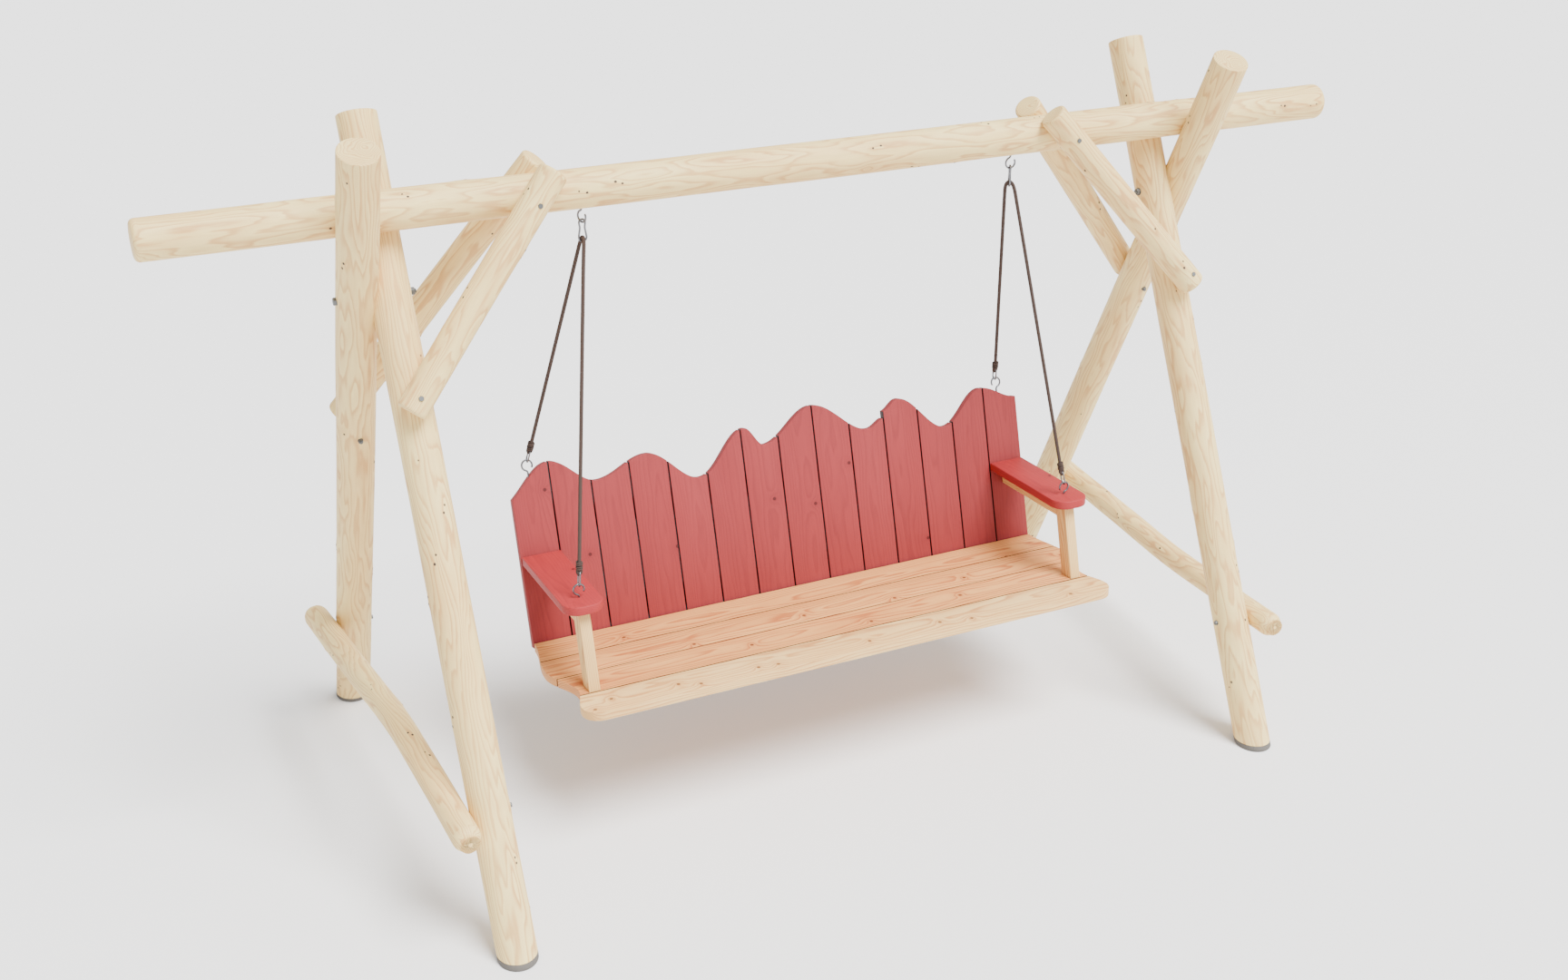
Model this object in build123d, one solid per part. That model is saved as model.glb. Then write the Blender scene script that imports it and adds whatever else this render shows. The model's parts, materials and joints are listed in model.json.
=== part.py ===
"""Porch swing of peeled logs.

A round beam lies in the forks of two crossed pole frames, braced to each of them.
Two screw hooks in the beam carry links, the links carry ropes, and the ropes carry
a bench of boards with a wavy backrest and two armrests.

Millimetres, +Z up, +X to the right of someone facing the bench, -Y towards them.
The origin is on the ground, straight below the middle of the beam.
"""

from build123d import *
import math
import os

# --- Log frame ---------------------------------------------------------------------
beam_length, beam_d, beam_end_chamfer = 3640, 108, 14
beam_height = 1821  # beam axis above the ground
leg_d = 108
frame_offset = 1251  # middle of the swing to the plane between the two legs of a frame
leg_side_step = 44  # each leg axis stands this far from that plane, so the two are let in
foot_reach = 759  # leg axis on the ground, in front of or behind the beam
leg_pass = 105  # leg axis beside the beam axis, level with it
leg_top_height = beam_height + 209
pad_height = 16
saddle_gap = 0.15  # left between a log and the saddle cut for it

brace_d, brace_notch, brace_end_chamfer = 82, 8, 7
brace_beam_x = 828  # where every brace crosses the beam
brace_top_overhang, brace_low_overhang = 95, 36
front_brace_drop = 446  # from the beam's axis down to where a brace crosses its leg
back_brace_drop = {"left": 621, "right": 531}

rail_d, rail_end_round = 76, 16
rail_gap = 0.6
rail_height, rail_overhang = 358, 112
rail_bend_y = -130  # the bend of a crooked rail, seen from the side
rail_bow = {"left": 52, "right": -22}

# --- Hardware ----------------------------------------------------------------------
bolt_d, bolt_head_af, bolt_head_h = 8, 13, 5.5
coach_d, coach_head_af, coach_head_h = 12, 19, 8
washer_t = 1.6
hole_clearance = 0.2
spot_depth, brace_spot_depth = 1.5, 4.0
screw_d, screw_head_d, screw_head_h = 5, 9.5, 3

hook_wire_d, hook_ring_r = 5.5, 15.8  # ring radius to the middle of the wire
hook_turn_start, hook_turn_end = 112, 385  # degrees round the ring that the wire covers
hook_shank, hook_neck = 45, 24  # length in the wood, and from the wood to the ring's middle
beam_hook_x = 675
hook_lift = 9  # length of bare shank on the hooks in the sloping tops of the back boards
swing_gap = 2.0  # slack between a beam hook and its link, which swing on each other
link_gap = 0.5  # slack at the bench's links

top_link_wire_d = 5.5
top_link_length = 62  # between the middles of its two end bends
top_hook_yaw = {"left": -68, "right": 0}  # degrees that a ring is turned about the vertical
top_link_yaw = {"left": 0, "right": 70}
bench_link_wire_d, bench_link_length, bench_link_r = 4.5, 42, 8.4

rope_d = 11
rope_over, rope_beside = 12, 12  # rope's axis above the link's lower wire, and to each side of it
loop_r = 9.2  # the small loop under each knot
knot_d, knot_length, knot_gap = 21, 24, 0.4

# --- Bench -------------------------------------------------------------------------
seat_y, seat_z = 68, 440  # where the seat's top meets the backrest
seat_tilt = 3.1  # degrees, front edge up
back_lean = 12.6  # degrees from square to the seat
board_w, board_t = 120, 26
seat_board_count, seat_gap, seat_back_gap = 4, 4, 6
back_board_count, back_gap = 14, 4.5
back_foot = -18  # lower end of the back boards, measured up the backrest
front_edge_round = 9
seat_end = [(0, 868), (190, 896), (347, 848), (446, 873)]  # depth, half length of the seat
seat_corner_r = 52

# Peaks and hollows of the backrest's top: across, and up the backrest.
# The crest breaks once, between the tenth and the eleventh board.
crest_left = [(-915, 415), (-745, 531), (-602, 450), (-438, 502), (-273, 399), (-110, 525),
              (-50, 463), (126, 558), (317, 452), (380, 478)]
crest_right = [(372, 498), (432, 530), (594, 413), (740, 516), (872, 470)]
crest_break = 372

stock_w, stock_h = 34, 52  # planed lath for posts, arm rails and stiles
bearer_h = 70
batten_t, batten_h = 27, 70
batten_up = (6, 306)  # lower edges of the two battens, up the backrest
batten_half_length = 845
stile_top = 405
frame_xs = {"left": -760, "middle": 0, "right": 760}  # seam between bearer and stile
bearer_front, bearer_back = -462, 128
bearer_nose, bearer_bevel = 12, 112  # depth left at the front end, and how far back the underside slopes

arm_top, arm_width, arm_front, arm_corner_r = 259, 120, -357, 48
arm_x = (back_board_count * (board_w + back_gap) - back_gap) / 2 - 62
arm_rail_h = 48
post_front = -374  # foot of the post's front face, on the seat
arm_hook_y = -290

CORNERS = [(side, end) for side in ("left", "right") for end in ("back", "front")]
SIGN = {"left": -1, "right": 1}
parts = {}


# --- Small helpers -----------------------------------------------------------------
def along(start, direction, length):
    """The point that lies a length along a direction from a start."""
    return Vector(*start) + Vector(*direction).normalized() * length


def rod(start, end, diameter, end_chamfer=0):
    """A round bar between two points, its two ends chamfered if asked."""
    axis = Vector(*end) - Vector(*start)
    bar = Solid.make_cylinder(diameter / 2, axis.length, Plane(origin=start, z_dir=axis))
    if end_chamfer:
        bar = chamfer(bar.edges().filter_by(GeomType.CIRCLE), end_chamfer)
    return bar


def hexagon(start, direction, height, across_flats):
    """A hexagonal prism that grows from a point along a direction."""
    sketch = Plane(origin=start, z_dir=direction) * RegularPolygon(across_flats / 2, 6, major_radius=False)
    return extrude(sketch, amount=height)


def washer(start, direction, bore, outer):
    """A flat washer whose near face is at a point."""
    far = along(start, direction, washer_t)
    return rod(start, far, outer) - rod(along(start, direction, -1), along(far, direction, 1), bore)


def block(size, low):
    """A box given by its size and its lowest corner."""
    return Pos(*(l + s / 2 for l, s in zip(low, size))) * Box(*size)


def smooth_height(points, x):
    """Height at x of a wave that is level at each of its peaks and hollows."""
    x = min(max(x, points[0][0]), points[-1][0])
    for (x0, h0), (x1, h1) in zip(points, points[1:]):
        if x <= x1:
            return h0 + (h1 - h0) * (1 - math.cos(math.pi * (x - x0) / (x1 - x0))) / 2


class Fastener:
    """A hexagon-headed bolt or coach screw, with the hole it needs."""

    def __init__(self, seat, direction, grip, d, head_af, head_h, nut):
        back = Vector(*direction).normalized() * -1
        into = back * -1
        washer_d, bore = 2 * d, d + 2 * hole_clearance
        under_head = Vector(*seat) + back * washer_t
        nut_seat = Vector(*seat) + into * grip
        self.solids = [washer(seat, back, bore, washer_d)]
        head = hexagon(under_head, back, head_h, head_af)
        if nut:
            nut_face = nut_seat + into * washer_t
            tip = nut_face + into * (head_h + 5)
            body = hexagon(nut_face, into, head_h + 1, head_af)
            self.solids += [washer(nut_seat, into, bore, washer_d), body - rod(nut_face, tip, d)]
        else:
            tip = nut_seat
        self.solids.append(head + rod(under_head, tip, d))
        spot = 1.2 * d + 2
        self.hole = rod(along(seat, into, -1), along(nut_seat, into, 1 if nut else 0), bore)
        self.hole += rod(seat, along(seat, back, 60), 2 * spot)
        if nut:
            self.hole += rod(nut_seat, along(nut_seat, into, 60), 2 * spot)


def bolt(seat, direction, grip):
    return Fastener(seat, direction, grip, bolt_d, bolt_head_af, bolt_head_h, True)


def small_coach_screw(seat, direction, length):
    return Fastener(seat, direction, length, bolt_d, bolt_head_af, bolt_head_h, False)


def big_bolt(seat, direction, grip):
    return Fastener(seat, direction, grip, coach_d, coach_head_af, coach_head_h, True)


def coach_screw(seat, direction, length):
    return Fastener(seat, direction, length, coach_d, coach_head_af, coach_head_h, False)


def drill(names, fasteners):
    """Cut the holes of some fasteners out of the named parts."""
    for name in names:
        for item in fasteners:
            parts[name] = parts[name] - item.hole


# --- Beam and legs -----------------------------------------------------------------
def leg_axis(side, foot):
    """Foot point and upward direction of a leg; foot is front or back."""
    y = -1 if foot == "front" else 1
    step = -leg_side_step if foot == "front" else leg_side_step
    start = Vector(SIGN[side] * (frame_offset + step), y * foot_reach, 0)
    return start, Vector(0, -y * (foot_reach + leg_pass), beam_height).normalized()


def leg_at(side, foot, height):
    """The point of a leg's axis at a height."""
    start, up = leg_axis(side, foot)
    return start + up * (height / up.Z)


def leg_rod(side, foot, extra=0.0):
    """The full round log of a leg, from below the ground to its square-cut top."""
    start, up = leg_axis(side, foot)
    return rod(start - up * 120, leg_at(side, foot, leg_top_height), leg_d + 2 * extra)


def make_beam():
    half = beam_length / 2
    parts["beam"] = rod((-half, 0, beam_height), (half, 0, beam_height), beam_d, beam_end_chamfer)


def make_legs():
    """Four legs: saddled over the beam, let in to each other and standing on pads."""
    half = beam_length / 2
    beam_cut = rod((-half, 0, beam_height), (half, 0, beam_height), beam_d + 2 * saddle_gap)
    pads = []
    for side in SIGN:
        for foot, other in (("front", "back"), ("back", "front")):
            log = leg_rod(side, foot)
            above = block((400, 2400, 2400), (SIGN[side] * frame_offset - 200, -1200, pad_height))
            below = block((400, 2400, pad_height), (SIGN[side] * frame_offset - 200, -1200, 0))
            inward = foot == "front"
            far_side = SIGN[side] if inward else -SIGN[side]
            half_space = block((200, 2400, 2400), (-100, -1200, 0))
            half_space = Pos(SIGN[side] * frame_offset + far_side * (100 - saddle_gap), 0, 0) * half_space
            lap = leg_rod(side, other, saddle_gap) & half_space
            parts[f"leg_{foot}_{side}"] = (log & above) - beam_cut - lap
            pads.append(log & below)
    parts["foot_pads"] = Compound(children=pads)


# --- Braces ------------------------------------------------------------------------
def brace_points(side, face):
    """Where a brace crosses the beam, and where it crosses its leg."""
    y = -1 if face == "front" else 1
    reach = (beam_d + brace_d) / 2 - brace_notch
    drop = front_brace_drop if face == "front" else back_brace_drop[side]
    leg_point = leg_at(side, face, beam_height - drop)
    _, up = leg_axis(side, face)
    offset = ((leg_d + brace_d) / 2 - brace_notch) / up.Z
    beam_point = Vector(SIGN[side] * brace_beam_x, y * reach, beam_height)
    return beam_point, leg_point + Vector(0, y * offset, 0)


def make_braces():
    half = beam_length / 2
    beam_cut = rod((-half, 0, beam_height), (half, 0, beam_height), beam_d + 2 * saddle_gap)
    for side in SIGN:
        for face in ("front", "back"):
            top, low = brace_points(side, face)
            down = low - top
            log = rod(along(top, down, -brace_top_overhang), along(low, down, brace_low_overhang),
                      brace_d, brace_end_chamfer)
            parts[f"brace_{face}_{side}"] = log - beam_cut - leg_rod(side, face, saddle_gap)


def make_brace_bolts():
    """One bolt through both braces and the beam at each side, and one at each brace's foot."""
    found = []
    for side in SIGN:
        top, _ = brace_points(side, "front")
        reach = -top.Y + brace_d / 2 - brace_spot_depth
        through = bolt((top.X, -reach, beam_height), (0, 1, 0), 2 * reach)
        drill(["beam", f"brace_front_{side}", f"brace_back_{side}"], [through])
        found.append(through)
        for face in ("front", "back"):
            _, low = brace_points(side, face)
            start, up = leg_axis(side, face)
            heart = start + up * (low - start).dot(up)
            inward = heart - low
            seat = along(low, inward, brace_spot_depth - brace_d / 2)
            grip = inward.length + (brace_d + leg_d) / 2 - brace_spot_depth - spot_depth
            low_bolt = bolt(seat, inward, grip)
            drill([f"brace_{face}_{side}", f"leg_{face}_{side}"], [low_bolt])
            found.append(low_bolt)
    parts["brace_bolts"] = Compound(children=[s for item in found for s in item.solids])


# --- Low rails ---------------------------------------------------------------------
def rail_points(side):
    """Back end, bend and front end of a low rail, which touches the outside of both legs."""
    touch = (leg_d + rail_d) / 2 + rail_gap
    at = {foot: leg_at(side, foot, rail_height) + Vector(SIGN[side] * touch, 0, 0)
          for foot in ("back", "front")}
    share = (rail_bend_y - at["back"].Y) / (at["front"].Y - at["back"].Y)
    bend = at["back"] + (at["front"] - at["back"]) * share + Vector(0, 0, rail_bow[side])
    ends = {foot: along(at[foot], at[foot] - bend, rail_overhang) for foot in at}
    return ends["back"], bend, ends["front"]


def make_rails():
    for side in SIGN:
        back, bend, front = rail_points(side)
        path = FilletPolyline(back, bend, front, radius=1500)
        section = Plane(origin=path @ 0, z_dir=path % 0) * Circle(rail_d / 2)
        log = sweep(section, path=path)
        ends = [e for e in log.edges().filter_by(GeomType.CIRCLE)
                if min((e.arc_center - back).length, (e.arc_center - front).length) < 1]
        parts[f"low_rail_{side}"] = fillet(ends, rail_end_round)


def make_leg_fasteners():
    """Bolts where legs cross, coach screws into the beam and into the low rails."""
    crossings, screws = [], []
    crossing_height = beam_height * foot_reach / (foot_reach + leg_pass)
    outer = leg_side_step + leg_d / 2 - spot_depth
    for side, sign in SIGN.items():
        names = [f"leg_front_{side}", f"leg_back_{side}"]
        cross = big_bolt((sign * (frame_offset + outer), 0, crossing_height), (-sign, 0, 0), 2 * outer)
        drill(names, [cross])
        crossings.append(cross)
        for foot in ("front", "back"):
            leg = f"leg_{foot}_{side}"
            start, up = leg_axis(side, foot)
            heart = Vector(start.X, 0, beam_height)
            across = leg_at(side, foot, beam_height) - heart
            square = (across - up * across.dot(up)).normalized()
            if foot == "front":  # this leg passes behind the beam: the screw goes in from its back
                reach = across.dot(square) + leg_d / 2 - spot_depth
                screw = coach_screw(heart + square * reach, square * -1, reach + beam_d / 4)
            else:  # this leg passes in front: the screw goes in from the back of the beam
                reach = beam_d / 2 - spot_depth
                screw = coach_screw(heart - square * reach, square, reach + across.dot(square) + leg_d / 4)
            drill(["beam", leg], [screw])
            screws.append(screw)
            inner = leg_at(side, foot, rail_height) - Vector(sign * (leg_d / 2 - spot_depth), 0, 0)
            rail_screw = small_coach_screw(inner, (sign, 0, 0), leg_d + rail_d / 2)
            drill([leg, f"low_rail_{side}"], [rail_screw])
            screws.append(rail_screw)
    parts["crossing_bolts"] = Compound(children=[s for item in crossings for s in item.solids])
    parts["coach_screws"] = Compound(children=[s for item in screws for s in item.solids])


# --- Hooks and links ---------------------------------------------------------------
def screw_hook():
    """An open screw hook: its ring's middle is the origin, its shank points up, in the XZ plane."""
    a = math.radians(hook_turn_start)
    shoulder_r = -hook_ring_r * math.cos(a) / (1 + math.cos(a))
    shoulder_z = (hook_ring_r + shoulder_r) * math.sin(a)
    top = hook_neck + hook_shank
    shank = Line((0, 0, top), (0, 0, shoulder_z))
    ring_start = Vector(hook_ring_r * math.cos(a), 0, hook_ring_r * math.sin(a))
    half = math.radians(180 - hook_turn_start) / 2
    middle = Vector(-shoulder_r * (1 - math.cos(half)), 0, shoulder_z - shoulder_r * math.sin(half))
    shoulder = ThreePointArc((0, 0, shoulder_z), middle, ring_start)
    e = math.radians(hook_turn_end)
    ring_middle = Vector(0, 0, -hook_ring_r)
    ring = ThreePointArc(ring_start, ring_middle, (hook_ring_r * math.cos(e), 0, hook_ring_r * math.sin(e)))
    wire = Wire([shank, shoulder, ring])
    return sweep(Plane(origin=(0, 0, top), z_dir=(0, 0, -1)) * Circle(hook_wire_d / 2), path=wire)


def shank_hole(place):
    """The hole that a hook's shank fills, for a hook at a place."""
    hole = rod((0, 0, hook_neck - 12), (0, 0, hook_neck + hook_shank), hook_wire_d + 0.1)
    return place * hole


def link_solid(points, radii, wire_d):
    """A closed wire link in the XZ plane."""
    path = FilletPolyline(*[(x, 0, z) for x, z in points], radius=radii, close=True)
    section = Plane(origin=path @ 0, z_dir=path % 0) * Circle(wire_d / 2)
    return sweep(section, path=path)


def hinge_heights():
    """Heights of the two pins of the suspension: hook on link, and rope on link."""
    ring_low = beam_height - beam_d / 2 - hook_neck - hook_ring_r
    link_top = ring_low + (hook_wire_d + top_link_wire_d) / 2 + swing_gap
    return ring_low, link_top - top_link_length


def make_beam_hooks():
    ring_z = beam_height - beam_d / 2 - hook_neck
    hooks = []
    for side, sign in SIGN.items():
        place = Pos(sign * beam_hook_x, 0, ring_z) * Rot(0, 0, top_hook_yaw[side])
        hooks.append(place * screw_hook())
        parts["beam"] = parts["beam"] - shank_hole(place)
    parts["beam_hooks"] = Compound(children=hooks)


def make_top_links():
    """Waisted links between the beam's hooks and the ropes."""
    _, low = hinge_heights()
    high = low + top_link_length
    waist = low + 0.62 * top_link_length
    points = [(-10.2, high), (10.2, high), (6.8, waist), (13.6, low), (-13.6, low), (-6.8, waist)]
    radii = [9, 9, 24, 12.5, 12.5, 24]
    for side, sign in SIGN.items():
        link = link_solid(points, radii, top_link_wire_d)
        parts[f"top_link_{side}"] = Pos(sign * beam_hook_x, 0, 0) * Rot(0, 0, top_link_yaw[side]) * link


# --- Bench frame of reference ------------------------------------------------------
# Bench frame: origin where the seat's top meets the backrest, Y to the back along the seat.
# Back frame: the same origin, Z up the front face of the backrest, Y through its thickness.
bench = Pos(0, seat_y, seat_z) * Rot(-seat_tilt, 0, 0)
back = bench * Rot(-back_lean, 0, 0)


def crest(x):
    """Height of the backrest's top, up the backrest, at x."""
    return smooth_height(crest_left if x < crest_break else crest_right, x)


def seat_half_length(depth):
    """Half the seat's length at a depth from the backrest: wavy, with a round front corner."""
    corner_start = seat_end[-1][0]
    if depth <= corner_start:
        return smooth_height(seat_end, depth)
    drop = min(depth - corner_start, seat_corner_r)
    return seat_end[-1][1] - seat_corner_r + math.sqrt(seat_corner_r**2 - drop**2)


def board_edges(index):
    """Left and right edges of a back board, counted from the left end."""
    pitch = board_w + back_gap
    left = index * pitch - (back_board_count * pitch - back_gap) / 2
    return left, left + board_w


def make_back_boards():
    for index in range(back_board_count):
        left, right = board_edges(index)
        side = crest_left if (left + right) / 2 < crest_break else crest_right
        top = [(left + (right - left) * k / 4, 0) for k in range(5)]
        top = [(x, smooth_height(side, x)) for x, _ in top]
        outline = Spline(*top)
        outline += Polyline(top[-1], (right, back_foot), (left, back_foot), top[0])
        board = extrude(Plane.XZ * make_face(outline), amount=-board_t)
        parts[f"back_board_{index + 1:02d}"] = back * board


def seat_board_depths(index):
    """Back and front edges of a seat board, as depths from the backrest."""
    start = seat_back_gap + index * (board_w + seat_gap)
    return start, start + board_w


def make_seat_boards():
    for index in range(seat_board_count):
        near, far = seat_board_depths(index)
        steps = 10 if index == seat_board_count - 1 else 4
        depths = [near + (far - near) * math.sin(math.pi / 2 * k / steps) for k in range(steps + 1)]
        right = [(seat_half_length(d), -d) for d in depths]
        left = [(-x, y) for x, y in right]
        outline = Spline(*right) + Spline(*left)
        outline += Line(right[0], left[0]) + Line(right[-1], left[-1])
        board = extrude(make_face(outline), amount=-board_t)
        if index == seat_board_count - 1:
            front = [e for e in board.edges().filter_by(GeomType.LINE)
                     if abs(e.center().Y + far) < 0.01 and e.length > board_w]
            board = fillet(front, front_edge_round)
        parts[f"seat_board_{index + 1}"] = bench * board


def bearer_depth(y):
    """Depth of a bearer there; its underside slopes up to the front, clear of the sitter's legs."""
    slope = (bearer_h - bearer_nose) / bearer_bevel
    return min(bearer_h, bearer_nose + slope * (y - bearer_front))


def make_back_frame():
    """Three bearers under the seat, three stiles behind the backrest, and two battens."""
    bearer_under = -board_t - bearer_h
    for name, seam in frame_xs.items():
        sign = 1 if name != "right" else -1  # the stile stands on the inner side of the left bearer
        bearer_x = seam - stock_w if sign > 0 else seam
        stile_x = seam if sign > 0 else seam - stock_w
        outline = Polyline(
            (bearer_front, -board_t),
            (bearer_back, -board_t),
            (bearer_back, bearer_under),
            (bearer_front + bearer_bevel, bearer_under),
            (bearer_front, -board_t - bearer_nose),
            close=True,
        )
        bearer = extrude(Plane.YZ * make_face(outline), stock_w)
        parts[f"bearer_{name}"] = bench * Pos(bearer_x, 0, 0) * bearer
        stile_y = board_t + batten_t
        stile = back * block((stock_w, stock_h, stile_top + 200), (stile_x, stile_y, -200))
        keep = bench * block((400, 600, 900), (seam - 200, -300, bearer_under))
        parts[f"stile_{name}"] = stile & keep
    for name, up in zip(("lower", "upper"), batten_up):
        size = (2 * batten_half_length, batten_t, batten_h)
        parts[f"batten_{name}"] = back * block(size, (-batten_half_length, board_t, up))


# --- Armrests ----------------------------------------------------------------------
def make_arms():
    arm_under = arm_top - board_t
    behind = back * block((2200, 400, 1200), (-1100, -0.01, -300))
    lean = Rot(-back_lean, 0, 0)
    for side, sign in SIGN.items():
        x = sign * arm_x
        depth = 120 - arm_front
        arm = block((arm_width, depth, board_t), (x - arm_width / 2, arm_front, arm_under))
        corners = arm.edges().filter_by(Axis.Z).group_by(Axis.Y)[0]
        parts[f"armrest_{side}"] = bench * fillet(corners, arm_corner_r) - behind
        post_depth = stock_h
        post = Pos(x, post_front, 0) * lean * block((stock_w, post_depth, 2 * arm_top),
                                                   (-stock_w / 2, 0, -arm_top / 2))
        slab = block((200, 800, arm_under), (x - 100, -600, 0))
        parts[f"arm_post_{side}"] = bench * (post & slab)
        rail = block((stock_w, 600, arm_rail_h), (x - stock_w / 2, -400, arm_under - arm_rail_h))
        ahead = Pos(x, post_front, 0) * lean * block((200, 800, 1200), (-100, stock_h - 800, -400))
        parts[f"arm_rail_{side}"] = bench * (rail - ahead) - behind


# --- Ropes -------------------------------------------------------------------------
def hook_place(side, end):
    """Place of a bench hook: ring's middle and shank direction, ring plane facing the front."""
    x = SIGN[side] * arm_x
    turn = Rot(180, 0, 0) if side == "left" else Rot(180, 0, 0) * Rot(0, 0, 180)
    if end == "back":
        return back * Pos(x, board_t / 2, crest(x) + hook_lift + hook_neck) * turn
    return bench * Pos(x, arm_hook_y, arm_top + hook_neck) * turn


def pull_frame(side, end):
    """Frame where a bench hook is pulled: origin in its wire, Z up the pull, X along the wire."""
    place = hook_place(side, end)
    square = Plane(place).y_dir  # square to the ring
    _, low = hinge_heights()
    top = Vector(SIGN[side] * beam_hook_x, 0, low + rope_over)
    pull = (top - place.position).normalized()
    outward = (pull - square * pull.dot(square)).normalized()
    origin = place.position + outward * hook_ring_r
    pull = (top - origin).normalized()
    wire = square.cross(outward)
    return Plane(origin=origin, x_dir=wire - pull * wire.dot(pull), z_dir=pull)


def lower_links():
    """Distances up the pull from the hook's wire: link bottom, link top, loop bottom, knot."""
    bottom = -(hook_wire_d + bench_link_wire_d) / 2 - link_gap
    top = bottom + bench_link_length
    loop = top - (bench_link_wire_d + rope_d) / 2 - link_gap
    knot = loop + loop_r + bench_link_wire_d / 2 + knot_length
    return bottom, top, loop, knot


def make_rope(side):
    """One rope from knot to knot over the top link."""
    sign = SIGN[side]
    _, low = hinge_heights()
    yaw = math.radians(top_link_yaw[side])
    cross = Vector(-math.sin(yaw), math.cos(yaw), 0)
    middle = Vector(sign * beam_hook_x, 0, low + rope_over)
    knots = {}
    for end in ("front", "back"):
        frame = pull_frame(side, end)
        knots[end] = frame.origin + frame.z_dir * (lower_links()[3] + knot_gap)
    step = cross * rope_beside
    route = [knots["front"], middle - step, middle + step, knots["back"]]
    radii = [wrap_radius(route, 1), wrap_radius(route, 2)]
    path = FilletPolyline(*route, radius=radii)
    tube = sweep(Plane(origin=path @ 0, z_dir=path % 0) * Circle(rope_d / 2), path=path)
    expected = math.pi * rope_d**2 / 4 * path.length
    print(f"rope_{side}: length {path.length:.1f}, radii {[round(r, 2) for r in radii]},"
          f" volume / expected {tube.volume / expected:.4f}")
    print("   route", [tuple(round(c, 1) for c in p) for p in route])
    parts[f"rope_{side}"] = tube


def wrap_radius(route, index):
    """Largest bend that fits at a corner over the link, whose run is shared by two corners."""
    before, after = route[index] - route[index - 1], route[index + 1] - route[index]
    half_turn = math.radians(before.get_angle(after)) / 2
    run = min(before.length, after.length)
    return 0.49 * run / math.tan(half_turn)


def make_suspension():
    hooks, links = [], []
    link_bottom, link_top, loop_bottom, knot_top = lower_links()
    r = bench_link_r
    link_points = [(-r, link_bottom), (r, link_bottom), (r, link_top), (-r, link_top)]
    for side in SIGN:
        knots = []
        for end in ("back", "front"):
            place = hook_place(side, end)
            hooks.append(place * screw_hook())
            targets = [f"armrest_{side}", f"arm_post_{side}"]
            if end == "back":
                targets = [f"back_board_{1 if side == 'left' else back_board_count:02d}"]
            for name in targets:
                parts[name] = parts[name] - shank_hole(place)
            frame = pull_frame(side, end).location
            square = Rot(0, 0, 90)
            links.append(frame * square * link_solid(link_points, [r * 0.97] * 4, bench_link_wire_d))
            knots.append(frame * knot_solid(loop_bottom, knot_top))
        parts[f"rope_knots_{side}"] = Compound(children=knots)
        make_rope(side)
    parts["bench_hooks"] = Compound(children=hooks)
    parts["bench_links"] = Compound(children=links)


def knot_solid(loop_bottom, knot_top):
    """A knot and the small loop under it that holds the link; Z runs up the rope."""
    w = loop_r
    knot_middle = knot_top - knot_length / 2
    points = [(-w, loop_bottom), (w, loop_bottom), (w, knot_middle + 4), (-w, knot_middle + 4)]
    loop = link_solid(points, [w * 0.97] * 4, rope_d * 0.92)
    lump = Pos(0, 0, knot_middle) * Cylinder(knot_d / 2, knot_length)
    return loop + fillet(lump.edges().filter_by(GeomType.CIRCLE), knot_d / 2 * 0.45)


# --- Screws ------------------------------------------------------------------------
def wood_screw(place, length):
    """A countersunk screw: its head's face is at the place's origin, its point is up +Z."""
    shank = Pos(0, 0, length / 2) * Cylinder(screw_d / 2, length)
    head = Pos(0, 0, screw_head_h / 2) * Cone(screw_head_d / 2, screw_d / 2, screw_head_h)
    return place * (shank + head)


def screw_hole(place, length, sink):
    """The space a screw needs, with a hole of its head's size behind it."""
    shank = Pos(0, 0, length / 2) * Cylinder(screw_d / 2 + 0.05, length)
    head = Pos(0, 0, -sink / 2 + screw_head_h / 2) * Cylinder(screw_head_d / 2 + 0.2, sink + screw_head_h)
    return place * (shank + head)


def fix(group, place, length, sink, names):
    """Add a screw to a group and drill the parts that it joins."""
    group.append(wood_screw(place, length))
    hole = screw_hole(place, length, sink)
    for name in names:
        parts[name] = parts[name] - hole


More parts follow.
